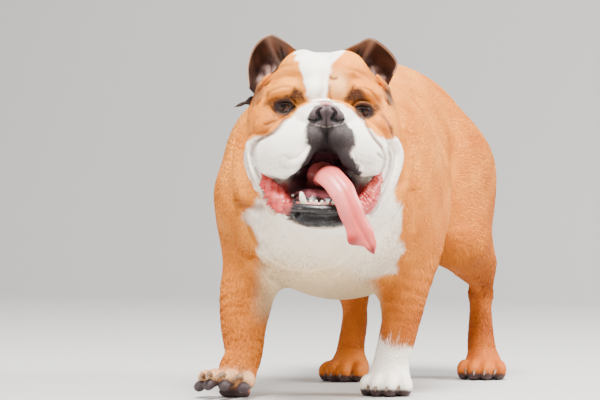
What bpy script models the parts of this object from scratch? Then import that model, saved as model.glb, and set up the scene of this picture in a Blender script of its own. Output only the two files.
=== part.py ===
"""An English bulldog at life size, striding, with its head turned and its mouth open.

The animal faces -Y, +X is its left side and +Z is up, all in metres. Its flesh is one
distance field on a grid: rounded masses melt into each other and creases are carved from
them. The field's surface is parted with thin cuts into named pieces. The ears, eyes, tongue,
teeth and claws are solids of their own: teeth and claws are fused to the piece they grow
from, the others lie in places carved for them.
"""

import math

import bmesh
import bpy
import numpy as np
import openvdb
from mathutils import Euler, Matrix, Vector

# Driving dimensions of the whole animal
BODY_STEP = 0.004
HEAD_STEP = 0.0015
FAR = 1.0
GAP = 0.0003
EYE_RADIUS = 0.0115
EYES = {"eye_left": (0.0443, 0.0060, -0.0006), "eye_right": (-0.0462, 0.0060, 0.0024)}
EAR_THICKNESS = 0.0034
TONGUE_THICKNESS = 0.0065

# How many triangles the body and the head may keep
BODY_TRIANGLES = 4600
HEAD_TRIANGLES = 5600

# Where the head is carried: the point midway between the eyes, and how the face is turned
HEAD_AT = Vector((0.059, -0.241, 0.339))
HEAD_TURN = Euler((0.0, math.radians(1.0), math.radians(21.0)))
HEAD_POSE = Matrix.Translation(HEAD_AT) @ HEAD_TURN.to_matrix().to_4x4()
BODY_POSE = Matrix.Identity(4)

# Each paw: where it stands, its heading, how far the toes are raised and its size
PAWS = {
    "forepaw_left": ((0.078, -0.050, 0.0), 4, 0, 0.88),
    "forepaw_right": ((-0.087, -0.148, 0.003), -6, 13, 1.10),
    "hindpaw_left": ((0.113, 0.255, 0.0), 8, 0, 0.90),
    "hindpaw_right": ((-0.044, 0.165, 0.0), -4, 0, 0.86),
}

COATS = {
    "coat": (0.72, 0.43, 0.22),
    "ear_skin": (0.12, 0.06, 0.04),
    "tongue_skin": (0.75, 0.32, 0.30),
    "eye_glass": (0.05, 0.025, 0.015),
    "paw_skin": (0.80, 0.70, 0.58),
}


class Sculpt:
    """A distance field on a regular grid, negative inside the flesh.

    Each shape is worked out only in a window round it, in the frame of the pose that is set.
    """

    def __init__(self, low, high, step):
        self.step = step
        self.low = np.array(low, float)
        self.axes = [np.arange(a, b, step, dtype=np.float32) for a, b in zip(low, high)]
        self.value = np.full([len(axis) for axis in self.axes], FAR, np.float32)
        self.pose = BODY_POSE

    def window(self, low, high, reach):
        """The slices of the grid that cover a box grown by reach, and their coordinates."""
        first = np.floor((np.array(low) - reach - self.low) / self.step).astype(int)
        last = np.ceil((np.array(high) + reach - self.low) / self.step).astype(int) + 1
        size = self.value.shape
        part = tuple(
            slice(min(max(0, a), n), max(0, min(n, b)))
            for a, b, n in zip(first, last, size)
        )
        x, y, z = (axis[s] for axis, s in zip(self.axes, part))
        return part, (x[:, None, None], y[None, :, None], z[None, None, :])

    def blend(self, part, shape, width, carve):
        """Smooth union of the shape with the field or, to carve, smooth difference."""
        sign = -1.0 if carve else 1.0
        mine = self.value[part] * sign
        near = np.maximum(width - np.abs(mine - shape), 0.0) / width
        self.value[part] = sign * (np.minimum(mine, shape) - near * near * width / 4)

    def ball(self, centre, radii, turn=(0, 0, 0), width=0.01, carve=False, both=False):
        """An ellipsoid, turned by degrees about its own X, Y and Z."""
        turned = Euler([math.radians(a) for a in turn]).to_matrix().to_4x4()
        for side in (1, -1) if both else (1,):
            mirror = Matrix.Diagonal((side, 1, 1, 1))
            place = self.pose @ mirror @ Matrix.Translation(centre) @ turned
            turn_rows = np.array(place.to_3x3(), np.float32)
            at = np.array(place.translation, np.float32)
            sizes = np.array(radii, np.float32)
            half = np.sqrt(((turn_rows * sizes) ** 2).sum(axis=1))
            part, (x, y, z) = self.window(at - half, at + half, width)
            if 0 in self.value[part].shape:
                continue
            x, y, z = x - at[0], y - at[1], z - at[2]
            outer = 0.0
            inner = 0.0
            for row, size in zip(turn_rows.T, sizes):
                along = (row[0] * x + row[1] * y + row[2] * z) / size
                outer = outer + along**2
                inner = inner + (along / size) ** 2
            outer = np.sqrt(outer)
            shape = outer * (outer - 1) / np.sqrt(np.maximum(inner, 1e-9))
            self.blend(part, shape, width, carve)

    def rope(self, points, radii, width=0.01, carve=False, both=False, smooth=True):
        """A limb through a smooth curve, its radius changing from point to point.

        It makes a leg, a roll of skin or a lip or, carved, a crease.
        """
        line = smooth_line(points, len(points) * 3) if smooth else np.array(points, float)
        shares = np.linspace(0, 1, len(line))
        sizes = np.interp(shares, np.linspace(0, 1, len(radii)), radii).astype(np.float32)
        for side in (1, -1) if both else (1,):
            place = self.pose @ Matrix.Diagonal((side, 1, 1, 1))
            at = np.array([place @ Vector(p) for p in line], np.float32)
            reach = sizes[:, None]
            part, (x, y, z) = self.window((at - reach).min(axis=0), (at + reach).max(axis=0), width)
            if 0 in self.value[part].shape:
                continue
            shape = None
            for a, b, r0, r1 in zip(at, at[1:], sizes, sizes[1:]):
                run = b - a
                dx, dy, dz = x - a[0], y - a[1], z - a[2]
                along = (dx * run[0] + dy * run[1] + dz * run[2]) / max(run @ run, 1e-9)
                along = np.clip(along, 0, 1)
                gap = (dx - along * run[0]) ** 2
                gap = gap + (dy - along * run[1]) ** 2
                gap = gap + (dz - along * run[2]) ** 2
                one = np.sqrt(gap) - (r0 + (r1 - r0) * along)
                shape = one if shape is None else np.minimum(shape, one)
            self.blend(part, shape, width, carve)

    def cone(self, start, end, radii, width=0.01, carve=False, both=False):
        """A round-ended limb between two points, its radius changing evenly."""
        self.rope([start, end], radii, width, carve, both, smooth=False)

    def surface(self, level=0.0):
        """The field's surface at a level, closed where the grid ends, as points and faces."""
        value = np.pad(self.value, 1, constant_values=FAR)
        grid = openvdb.FloatGrid(FAR)
        grid.copyFromArray(value)
        points, triangles, quads = grid.convertToPolygons(isovalue=level, adaptivity=0.0)
        points = (points - 1) * self.step + self.low
        return points, [*triangles.tolist(), *quads.tolist()]


def smooth_line(points, count):
    """A Catmull-Rom curve through the points, as count points."""
    p = np.array(points, float)
    p = np.vstack([2 * p[0] - p[1], p, 2 * p[-1] - p[-2]])
    at = np.linspace(0, len(points) - 1 - 1e-9, count)
    i = at.astype(int)
    t = (at - i)[:, None]
    a, b, c, d = p[i], p[i + 1], p[i + 2], p[i + 3]
    return 0.5 * (
        2 * b
        + (c - a) * t
        + (2 * a - 5 * b + 4 * c - d) * t**2
        + (3 * b - a - 3 * c + d) * t**3
    )


def model_torso(s):
    """The barrel chest, the roached loin, the rump and the short tail."""
    s.pose = BODY_POSE
    s.ball((0, 0.000, 0.240), (0.124, 0.150, 0.130), width=0.01)
    s.ball((0.004, -0.090, 0.222), (0.100, 0.080, 0.084), width=0.05)
    s.ball((0, 0.060, 0.302), (0.100, 0.120, 0.092), width=0.05)
    s.ball((0, 0.155, 0.306), (0.098, 0.110, 0.108), width=0.05)
    s.ball((0, 0.215, 0.286), (0.112, 0.078, 0.110), width=0.04)
    s.ball((0.062, 0.225, 0.252), (0.066, 0.070, 0.085), (0, 10, 0), 0.03, both=True)
    s.ball((0, 0.120, 0.232), (0.092, 0.110, 0.070), width=0.04)
    # shoulder blades and the loose fold of skin behind the left one
    s.ball((0.066, -0.040, 0.312), (0.050, 0.070, 0.060), (0, -25, 0), 0.03, both=True)
    s.ball((0.097, -0.035, 0.245), (0.037, 0.062, 0.075), (10, 0, 0), 0.05)
    s.ball((-0.086, -0.075, 0.235), (0.033, 0.060, 0.078), (10, 0, 0), 0.05)
    s.rope(
        [(0.080, 0.026, 0.344), (0.106, 0.022, 0.304), (0.128, 0.016, 0.258),
         (0.130, 0.006, 0.212)],
        (0.001, 0.004, 0.005, 0.001), 0.026,
    )
    s.rope(
        [(0.090, 0.056, 0.366), (0.107, 0.050, 0.348), (0.129, 0.040, 0.310),
         (0.150, 0.036, 0.262), (0.154, 0.014, 0.210)],
        (0.0002, 0.001, 0.002, 0.001, 0.0002), 0.020, carve=True,
    )
    # tail
    s.rope(
        [(0, 0.268, 0.342), (0, 0.300, 0.334), (0.003, 0.322, 0.312), (0.009, 0.330, 0.282)],
        (0.019, 0.0165, 0.014, 0.009), 0.014,
    )


def model_neck(s):
    """The short thick neck, bent to the animal's left, the throat and the forechest."""
    s.pose = BODY_POSE
    s.cone((0.036, -0.165, 0.325), (0.0, -0.030, 0.292), (0.074, 0.092), 0.04)
    s.cone((0.042, -0.165, 0.262), (0.0, -0.080, 0.240), (0.070, 0.084), 0.04)
    s.ball((0.012, -0.130, 0.205), (0.078, 0.048, 0.062), width=0.04)
    # folds of the throat, from under each ear down to the forechest
    s.rope(
        [(-0.046, -0.165, 0.345), (-0.068, -0.150, 0.300), (-0.066, -0.160, 0.250),
         (-0.048, -0.172, 0.222), (-0.026, -0.178, 0.208)],
        (0.010, 0.017, 0.016, 0.008, 0.001), 0.02,
    )
    s.rope(
        [(0.122, -0.138, 0.318), (0.122, -0.128, 0.280), (0.108, -0.140, 0.235),
         (0.075, -0.165, 0.205)],
        (0.004, 0.012, 0.014, 0.010), 0.02,
    )


def model_forelegs(s):
    """Stout, wide-set forelegs: the left under the shoulder, the right reaching forward."""
    s.pose = BODY_POSE
    left = [(0.093, -0.035, 0.236), (0.095, -0.024, 0.172), (0.091, -0.034, 0.122),
            (0.0885, -0.038, 0.088), (0.081, -0.042, 0.052), (0.077, -0.046, 0.030)]
    s.rope(left, (0.036, 0.038, 0.0310, 0.0250, 0.0235, 0.0240), 0.03)
    right = [(-0.090, -0.080, 0.240), (-0.089, -0.068, 0.170), (-0.0870, -0.100, 0.118),
             (-0.085, -0.116, 0.085), (-0.079, -0.132, 0.052), (-0.082, -0.142, 0.034)]
    s.rope(right, (0.042, 0.040, 0.0345, 0.0295, 0.0240, 0.0250), 0.02)
    # elbows
    s.ball((0.102, 0.002, 0.172), (0.017, 0.020, 0.022), width=0.02)
    s.ball((-0.100, -0.034, 0.170), (0.017, 0.020, 0.022), width=0.02)


def model_hindlegs(s):
    """Hindlegs: thick thighs, hocks set low, the right foot further forward."""
    s.pose = BODY_POSE
    s.cone((0.066, 0.215, 0.262), (0.098, 0.190, 0.185), (0.064, 0.040), 0.04)
    s.cone((0.066, 0.240, 0.235), (0.104, 0.238, 0.155), (0.056, 0.026), 0.03)
    s.rope(
        [(0.099, 0.198, 0.180), (0.110, 0.245, 0.142), (0.100, 0.290, 0.110)],
        (0.036, 0.021, 0.0150), 0.02,
    )
    s.rope(
        [(0.100, 0.290, 0.110), (0.101, 0.285, 0.080), (0.104, 0.276, 0.050), (0.110, 0.262, 0.028)],
        (0.0155, 0.0170, 0.0195, 0.0220), 0.012,
    )
    s.cone((-0.064, 0.215, 0.262), (-0.082, 0.150, 0.180), (0.064, 0.044), 0.04)
    s.cone((-0.064, 0.230, 0.235), (-0.076, 0.185, 0.150), (0.056, 0.028), 0.03)
    s.rope(
        [(-0.078, 0.150, 0.175), (-0.062, 0.180, 0.140), (-0.049, 0.205, 0.110)],
        (0.038, 0.026, 0.0180), 0.02,
    )
    s.rope(
        [(-0.049, 0.205, 0.110), (-0.046, 0.200, 0.080), (-0.047, 0.190, 0.050), (-0.045, 0.175, 0.028)],
        (0.0180, 0.0185, 0.0190, 0.0215), 0.012,
    )


def paw_pose(name):
    """The paw's own frame: toes towards -Y, and raised ones turned up about the heel."""
    place, heading, raised, size = PAWS[name]
    turn = Euler((math.radians(-raised), 0.0, math.radians(heading))).to_matrix()
    return Matrix.Translation(place) @ turn.to_4x4() @ Matrix.Scale(size, 4)


TOES = ((-0.0250, -0.016, 10), (-0.0088, -0.028, 3), (0.0088, -0.028, -3), (0.0250, -0.016, -10))


def model_paws(s):
    """Four knuckled toes, the pads under them and the large pad behind."""
    for name, (place, heading, raised, size) in PAWS.items():
        s.pose = paw_pose(name)
        s.ball((0, 0.004, 0.018), (0.024, 0.030, 0.019), width=0.010)
        for x, y, spread in TOES:
            s.ball((x, y, 0.0145), (0.0108, 0.0190, 0.0140), (0, 0, -spread), 0.005)
            s.ball((x * 1.02, y - 0.006, 0.0055), (0.0080, 0.0100, 0.0065), width=0.004)
        if raised:
            s.ball((0, 0.004, 0.003), (0.0240, 0.0200, 0.0110), width=0.008)
        else:
            s.ball((0, 0.004, 0.005), (0.0185, 0.0140, 0.0070), width=0.005)
    s.pose = BODY_POSE


def model_head(s):
    """The skull, brows, cheeks, muzzle, jaw, nose and folds, in the head's own frame."""
    s.pose = HEAD_POSE
    # skull with its furrow, cheeks and the throat behind the jaw
    s.ball((0, 0.064, 0.006), (0.077, 0.072, 0.062), width=0.02)
    s.ball((0.023, 0.030, 0.040), (0.029, 0.042, 0.030), width=0.012, both=True)
    s.ball((0.056, 0.048, -0.024), (0.031, 0.045, 0.044), width=0.03, both=True)
    s.ball((0, 0.062, -0.060), (0.074, 0.052, 0.052), width=0.03)
    s.rope([(0, -0.018, 0.026), (-0.003, -0.014, 0.050), (-0.006, 0.008, 0.071), (-0.006, 0.04, 0.080)],
           (0.001, 0.003, 0.005, 0.005), 0.014, carve=True)
    s.rope([(0.007, -0.022, 0.038), (0.012, -0.021, 0.034), (0.013, -0.020, 0.026)],
           (0.0006, 0.0022, 0.0006), 0.006, carve=True)
    # brows, frown lines between them and the stop
    s.ball((0.042, 0.006, 0.022), (0.026, 0.020, 0.013), (0, 14, 0), 0.010, both=True)
    s.ball((0.015, -0.004, 0.020), (0.012, 0.015, 0.017), (0, -14, 0), 0.008, both=True)
    s.rope([(0.020, -0.022, 0.010), (0.027, -0.014, 0.022), (0.031, -0.010, 0.036)],
           (0.0010, 0.0020, 0.0006), 0.007, carve=True, both=True)
    s.rope([(0.036, -0.010, 0.036), (0.052, -0.002, 0.038), (0.066, 0.010, 0.030)],
           (0.0004, 0.0018, 0.0004), 0.010, carve=True, both=True)
    # cheek pads under the eyes
    s.ball((0.063, 0.006, -0.017), (0.019, 0.017, 0.013), (0, 24, 0), 0.010, both=True)
    # muzzle, flews and lip pads; the animal's left flew is drawn up a little
    s.ball((0, 0.004, -0.036), (0.052, 0.043, 0.030), width=0.012)
    s.ball((0, -0.036, -0.030), (0.020, 0.014, 0.020), width=0.008)
    s.ball((-0.036, -0.028, -0.045), (0.034, 0.030, 0.038), (0, 20, 0), 0.010)
    s.ball((0.035, -0.028, -0.043), (0.033, 0.030, 0.036), (0, -20, 0), 0.010)
    s.ball((-0.056, -0.008, -0.052), (0.025, 0.027, 0.028), (0, 12, 0), 0.010)
    s.ball((0.053, -0.008, -0.050), (0.023, 0.027, 0.027), (0, -12, 0), 0.010)
    s.ball((0.015, -0.046, -0.033), (0.016, 0.015, 0.016), width=0.006, both=True)
    s.ball((0.024, -0.046, -0.058), (0.0120, 0.0125, 0.023), (0, -40, 0), 0.007, both=True)
    # lower jaw and chin, hollowed above by the mouth
    s.ball((0, -0.010, -0.118), (0.044, 0.042, 0.020), (-8, 0, 0), 0.012)
    s.ball((-0.002, -0.042, -0.125), (0.032, 0.016, 0.013), width=0.010)
    s.cone((0.050, 0.040, -0.080), (0.036, -0.020, -0.112), (0.026, 0.015), 0.014, both=True)
    s.ball((0, -0.022, -0.086), (0.040, 0.052, 0.024), (-12, 0, 0), 0.006, carve=True)
    s.ball((0, -0.040, -0.064), (0.017, 0.032, 0.018), width=0.005, carve=True)
    s.ball((-0.012, -0.010, -0.106), (0.028, 0.032, 0.017), width=0.006)
    # lower lips from the corners to the chin, and the dark lip across it
    s.rope(
        [(0.066, 0.000, -0.074), (0.061, -0.014, -0.090), (0.053, -0.026, -0.108),
         (0.042, -0.036, -0.117)],
        (0.006, 0.008, 0.009, 0.007), 0.006, both=True,
    )
    s.rope(
        [(-0.042, -0.040, -0.112), (-0.026, -0.052, -0.113), (0, -0.057, -0.1145),
         (0.026, -0.052, -0.113), (0.042, -0.040, -0.112)],
        (0.006, 0.0072, 0.006), 0.004,
    )
    s.rope(
        [(-0.036, -0.052, -0.1215), (0, -0.062, -0.1235), (0.036, -0.052, -0.1215)],
        (0.0010, 0.0022, 0.0010), 0.004, carve=True,
    )
    # the line of the mouth between flew and lower lip, back to the corner
    s.rope(
        [(0.080, 0.006, -0.052), (0.077, -0.008, -0.062), (0.067, -0.028, -0.078),
         (0.050, -0.048, -0.089), (0.030, -0.056, -0.088)],
        (0.0012, 0.0020, 0.0026, 0.0030), 0.003, carve=True, both=True,
    )
    # the roll over the nose and the deep crease behind it, down beside the muzzle
    s.rope(
        [(-0.050, -0.014, -0.036), (-0.041, -0.028, -0.018), (-0.024, -0.038, -0.002),
         (0, -0.041, 0.0045), (0.024, -0.038, -0.002), (0.041, -0.028, -0.018),
         (0.050, -0.014, -0.036)],
        (0.008, 0.0085, 0.0075, 0.0085, 0.008), 0.006,
    )
    s.rope(
        [(-0.072, -0.006, -0.034), (-0.058, -0.015, -0.027), (-0.044, -0.018, -0.015),
         (-0.034, -0.024, -0.002), (-0.018, -0.032, 0.009), (0, -0.034, 0.0135),
         (0.018, -0.032, 0.009), (0.034, -0.024, -0.002), (0.044, -0.018, -0.015),
         (0.056, -0.015, -0.027), (0.068, -0.006, -0.042)],
        (0.0025, 0.0035, 0.0030, 0.0030, 0.0025, 0.0020, 0.0025, 0.0030, 0.0030, 0.0035, 0.0025),
        0.004, carve=True,
    )
    # outer cheek folds, from beside the muzzle round the corner of the mouth to the throat
    s.rope(
        [(0.066, 0.000, -0.026), (0.080, 0.008, -0.034), (0.087, 0.012, -0.050),
         (0.084, 0.008, -0.068), (0.077, 0.002, -0.086), (0.068, -0.004, -0.102),
         (0.056, -0.010, -0.118)],
        (0.006, 0.0070, 0.0070, 0.0065, 0.006), 0.004, both=True,
    )
    s.rope(
        [(0.068, -0.014, -0.032), (0.077, -0.006, -0.042), (0.081, -0.004, -0.054),
         (0.078, -0.008, -0.070), (0.071, -0.014, -0.086)],
        (0.0015, 0.0025, 0.0028, 0.0022), 0.003, carve=True, both=True,
    )
    s.rope(
        [(0.076, 0.004, -0.006), (0.089, 0.014, -0.022), (0.095, 0.020, -0.046),
         (0.090, 0.014, -0.078), (0.078, 0.004, -0.104)],
        (0.0008, 0.0024, 0.0026, 0.0010), 0.005, carve=True, both=True,
    )
    # nose leather: broad below, with rounded wings, deep comma nostrils and the groove under it
    s.ball((0.017, -0.036, -0.010), (0.015, 0.015, 0.012), width=0.006, both=True)
    s.ball((0, -0.0500, -0.0085), (0.0165, 0.0120, 0.0105), width=0.002)
    s.ball((0.0125, -0.0500, -0.0085), (0.0085, 0.0105, 0.0078), (0, 20, 0), width=0.003, both=True)
    s.ball((0.0055, -0.0560, -0.0040), (0.0070, 0.0080, 0.0070), width=0.003, both=True)
    s.ball((0, -0.0500, -0.0185), (0.0140, 0.0100, 0.0070), width=0.006)
    s.rope(
        [(0.0066, -0.0600, -0.0010), (0.0086, -0.0580, -0.0062), (0.0070, -0.0570, -0.0118)],
        (0.0012, 0.0027, 0.0026), 0.0010, carve=True, both=True,
    )
    s.rope(
        [(0.0074, -0.0570, -0.0132), (0.0135, -0.0560, -0.0148), (0.0205, -0.0500, -0.0132)],
        (0.0022, 0.0016, 0.0009), 0.0010, carve=True, both=True,
    )
    s.rope([(0, -0.0590, 0.0020), (0, -0.0612, -0.0060), (0, -0.0590, -0.020), (0, -0.0530, -0.030),
            (0, -0.0505, -0.048)], (0.0008, 0.0010, 0.0012, 0.0014), 0.0012, carve=True)
    s.rope(
        [(0.0235, -0.0540, -0.0200), (0.0245, -0.0520, -0.0080), (0.0170, -0.0520, 0.0030)],
        (0.0005, 0.0012, 0.0008), 0.004, carve=True, both=True,
    )
    # wrinkled burr under each ear
    s.rope([(0.062, 0.030, 0.040), (0.073, 0.030, 0.026), (0.079, 0.034, 0.008)],
           (0.003, 0.0045, 0.0025), 0.003, both=True)
    s.rope([(0.060, 0.022, 0.030), (0.070, 0.022, 0.016), (0.076, 0.028, 0.000)],
           (0.001, 0.0018, 0.001), 0.003, carve=True, both=True)
    # eye sockets, lids heavy above and drooping below, and the slit between them
    for x, y, z in EYES.values():
        side = math.copysign(1.0, x)
        s.ball((x, y - 0.006, z), (0.0120, 0.010, 0.0095), width=0.005, carve=True)
        s.ball((x, y, z), (EYE_RADIUS + 0.0026,) * 3, width=0.002)
        s.rope(
            [(x - 0.014 * side, y - 0.008, z + 0.001), (x - 0.006 * side, y - 0.0125, z + 0.0072),
             (x + 0.004 * side, y - 0.0120, z + 0.0076), (x + 0.014 * side, y - 0.0040, z + 0.0015)],
            (0.0012, 0.0034, 0.0034, 0.0014), 0.003,
        )
        s.rope(
            [(x - 0.013 * side, y - 0.007, z - 0.002), (x - 0.005 * side, y - 0.0105, z - 0.0098),
             (x + 0.005 * side, y - 0.0100, z - 0.0100), (x + 0.013 * side, y - 0.0030, z - 0.0010)],
            (0.0010, 0.0022, 0.0024, 0.0010), 0.003,
        )
        s.ball((x - 0.0005 * side, y - 0.013, z - 0.0010), (0.0090, 0.0095, 0.0056),
               (0, 8 * side, 0), 0.0012, carve=True)
    s.pose = BODY_POSE


def tube(points, radii, sides, flat=1.0):
    """A closed tube along a line of points; flat squeezes it across."""
    line = [Vector(p) for p in points]
    rings = []
    for i, (at, radius) in enumerate(zip(line, radii)):
        ahead = line[min(i + 1, len(line) - 1)] - line[max(i - 1, 0)]
        ahead.normalize()
        across = ahead.cross(Vector((0, 1, 0))).normalized()
        up = across.cross(ahead)
        turns = [2 * math.pi * k / sides for k in range(sides)]
        rings.append(
            [at + (across * math.cos(t) * flat + up * math.sin(t)) * radius for t in turns]
        )
    return ring_tube(rings)


def add_quad(mesh, a, b, c, d):
    """A four-sided face as two triangles that share the line from a to c."""
    mesh.faces.new((a, b, c))
    mesh.faces.new((a, c, d))


def shell(front, back):
    """A closed shell between two grids of points of the same size."""
    rows, columns = front.shape[:2]
    mesh = bmesh.new()
    near = [[mesh.verts.new(p) for p in row] for row in front]
    far = [[mesh.verts.new(p) for p in row] for row in back]
    for i in range(rows - 1):
        for j in range(columns - 1):
            add_quad(mesh, near[i][j], near[i + 1][j], near[i + 1][j + 1], near[i][j + 1])
            add_quad(mesh, far[i][j], far[i][j + 1], far[i + 1][j + 1], far[i + 1][j])
    for i in range(rows - 1):
        add_quad(mesh, near[i][0], far[i][0], far[i + 1][0], near[i + 1][0])
        add_quad(mesh, near[i][-1], near[i + 1][-1], far[i + 1][-1], far[i][-1])
    for j in range(columns - 1):
        add_quad(mesh, near[0][j], near[0][j + 1], far[0][j + 1], far[0][j])
        add_quad(mesh, near[-1][j], far[-1][j], far[-1][j + 1], near[-1][j + 1])
    return mesh


def ring_tube(rings):
    """A closed tube through rings of points, each ring a list of the same length."""
    mesh = bmesh.new()
    corners = [[mesh.verts.new(p) for p in ring] for ring in rings]
    sides = len(rings[0])
    for low, high in zip(corners, corners[1:]):
        for k in range(sides):
            after = (k + 1) % sides
            add_quad(mesh, low[k], low[after], high[after], high[k])
    mesh.faces.new(corners[0][::-1])
    mesh.faces.new(corners[-1])
    return mesh


def grid_normals(points):
    """Unit normals of a grid of points."""
    along = np.gradient(points, axis=0)
    across = np.gradient(points, axis=1)
    normal = np.cross(along, across)
    return normal / np.linalg.norm(normal, axis=2, keepdims=True)


def place_mesh(name, mesh, pose=BODY_POSE):
    """An object from a bmesh or from points and faces, its mesh moved by the pose."""
    data = bpy.data.meshes.new(name)
    if isinstance(mesh, tuple):
        data.from_pydata([tuple(p) for p in mesh[0]], [], mesh[1])
    else:
        bmesh.ops.recalc_face_normals(mesh, faces=mesh.faces)
        bmesh.ops.triangulate(mesh, faces=mesh.faces)
        mesh.to_mesh(data)
        mesh.free()
    data.transform(pose)
    data.update()
    obj = bpy.data.objects.new(name, data)
    bpy.context.scene.collection.objects.link(obj)
    return obj


def apply_modifiers(obj):
    """Turn the object's modifiers into its mesh."""
    graph = bpy.context.evaluated_depsgraph_get()
    data = bpy.data.meshes.new_from_object(obj.evaluated_get(graph))
    obj.modifiers.clear()
    obj.data = data


def boolean(obj, tool, operation, keep_tool=False):
    """Join, cut or intersect the object with another one."""
    step = obj.modifiers.new("boolean", "BOOLEAN")
    step.operation = operation
    step.object = tool
    step.solver = "EXACT"
    apply_modifiers(obj)
    if not keep_tool:
        bpy.data.objects.remove(tool)


def decimate(obj, triangles):
    """Bring a dense surface down to about so many triangles, keeping its shape."""
    count = sum(len(face.vertices) - 2 for face in obj.data.polygons)
    step = obj.modifiers.new("decimate", "DECIMATE")
    step.ratio = min(1.0, triangles / count)
    apply_modifiers(obj)


def islands(obj):
    """The separate closed surfaces of an object, each as points and faces."""
    mesh = bmesh.new()
    mesh.from_mesh(obj.data)
    bmesh.ops.triangulate(mesh, faces=mesh.faces)
    mesh.faces.ensure_lookup_table()
    seen = set()
    found = []
    for start in mesh.faces:
        if start.index in seen:
            continue
        seen.add(start.index)
        group = [start]
        for face in group:
            for edge in face.edges:
                for other in edge.link_faces:
                    if other.index not in seen:
                        seen.add(other.index)
                        group.append(other)
        order = {}
        faces = [[order.setdefault(v, len(order)) for v in face.verts] for face in group]
        found.append((np.array([v.co for v in order]), faces))
    mesh.free()
    return found


def volume(points, faces):
    """The volume of a closed surface."""
    a, b, c = (points[np.array(faces)[:, k]] for k in range(3))
    return float(np.einsum("ij,ij->i", a, np.cross(b, c)).sum() / 6)


def thin_cut(points, pose=BODY_POSE):
    """A cutting sheet as thin as the gap, through a grid of points."""
    points = np.array(points, float)
    reach = grid_normals(points) * GAP / 2
    return place_mesh("cut", shell(points + reach, points - reach), pose)


def front_cut(path, near, far):
    """A cutting sheet through a line of x and z, from y near to y far."""
    return thin_cut([[(x, near, z), (x, far, z)] for x, z in path])


def thigh_cut(path, near, bend):
    """A front cut that dips below the belly at its near edge, where the thigh meets the flank."""
    rows = [[(x, near, 0.095), (x, bend, z), (x, 0.36, z)] for x, z in path]
    return thin_cut(rows)


def side_cut(path, half, pose):
    """A cutting sheet through a line of y and z, as wide as half to each side."""
    return thin_cut([[(-half, y, z), (half, y, z)] for y, z in path], pose)


def flat_cut(centre, half, tilt=0.0):
    """A small cutting sheet across a leg, tilted by degrees about X."""
    turn = Euler((math.radians(tilt), 0, 0)).to_matrix().to_4x4()
    square = [[(-half, -half, 0), (half, -half, 0)], [(-half, half, 0), (half, half, 0)]]
    return thin_cut(square, Matrix.Translation(centre) @ turn)


def jaw_height(x, y):
    """The height of the parting between upper and lower jaw, from the line of the mouth."""
    side = np.interp(abs(x), (0.044, 0.052, 0.066, 0.076, 0.084), (-0.0905, -0.0885, -0.078, -0.062, -0.056))
    back = np.interp(y, (-0.005, 0.035), (0.0, 1.0))
    return side * (1 - back) - 0.058 * back


def part_body(flesh):
    """Cut the body into named pieces; each piece is the island nearest to its own point."""
    cuts = [
        side_cut([(0.112, 0.16), (0.092, -0.05), (0.030, -0.150), (0.018, -0.185)], 0.16, HEAD_POSE),
        thin_cut([[(-0.17, -0.125, 0.45), (0.17, -0.040, 0.45)],
                  [(-0.17, -0.125, 0.24), (0.17, -0.040, 0.24)],
                  [(-0.17, -0.200, 0.17), (0.17, -0.200, 0.17)],
                  [(-0.17, -0.260, 0.16), (0.17, -0.260, 0.16)]]),
        front_cut([(0.030, 0.090), (0.058, 0.118), (0.150, 0.196), (0.190, 0.205)], -0.14, 0.09),
        front_cut([(-0.030, 0.092), (-0.055, 0.120), (-0.150, 0.196), (-0.190, 0.205)], -0.19, 0.06),
        thigh_cut([(0.012, 0.120), (0.056, 0.160), (0.150, 0.215), (0.190, 0.220)], 0.105, 0.140),
        thigh_cut([(0.004, 0.120), (-0.040, 0.152), (-0.150, 0.215), (-0.190, 0.220)], 0.080, 0.115),
        flat_cut((0.082, -0.042, 0.046), 0.045),
        flat_cut((-0.080, -0.136, 0.048), 0.045),
        flat_cut((0.106, 0.274, 0.046), 0.045),
        flat_cut((-0.046, 0.188, 0.046), 0.040),
        side_cut([(0.276, 0.378), (0.298, 0.325), (0.311, 0.245)], 0.035, BODY_POSE),
    ]
    for cut in cuts:
        boolean(flesh, cut, "DIFFERENCE")
    floor = place_mesh("floor", shell(
        np.array([[(-1, -1, -0.2), (1, -1, -0.2)], [(-1, 1, -0.2), (1, 1, -0.2)]], float),
        np.array([[(-1, -1, 0), (1, -1, 0)], [(-1, 1, 0), (1, 1, 0)]], float),
    ))
    boolean(flesh, floor, "DIFFERENCE")
    marks = {
        "neck": (0.03, -0.14, 0.27),
        "torso": (0, 0.07, 0.26),
        "tail": (0.005, 0.32, 0.29),
        "foreleg_left": (0.095, -0.03, 0.13),
        "foreleg_right": (-0.09, -0.09, 0.13),
        "hindleg_left": (0.10, 0.24, 0.15),
        "hindleg_right": (-0.07, 0.17, 0.15),
    }
    for name, (place, *_) in PAWS.items():
        marks[name] = (place[0], place[1], 0.02)
    pieces = name_islands(flesh, marks)
    bpy.data.objects.remove(flesh)
    return pieces


def name_islands(flesh, marks):
    """Objects from the islands of a mesh, the largest near each mark taking its name."""
    found = islands(flesh)
    pieces = {}
    for name, mark in marks.items():
        best = None
        for points, faces in found:
            middle = (points.min(axis=0) + points.max(axis=0)) / 2
            if np.linalg.norm(middle - np.array(mark)) < 0.06:
                size = volume(points, faces)
                if best is None or size > best[0]:
                    best = (size, points, faces)
        if best is None:
            seen = [(points.mean(axis=0).round(3).tolist(), len(faces)) for points, faces in found]
            raise ValueError(f"no piece near {name}, only {seen}")
        pieces[name] = place_mesh(name, best[1:])
    return pieces


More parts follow.
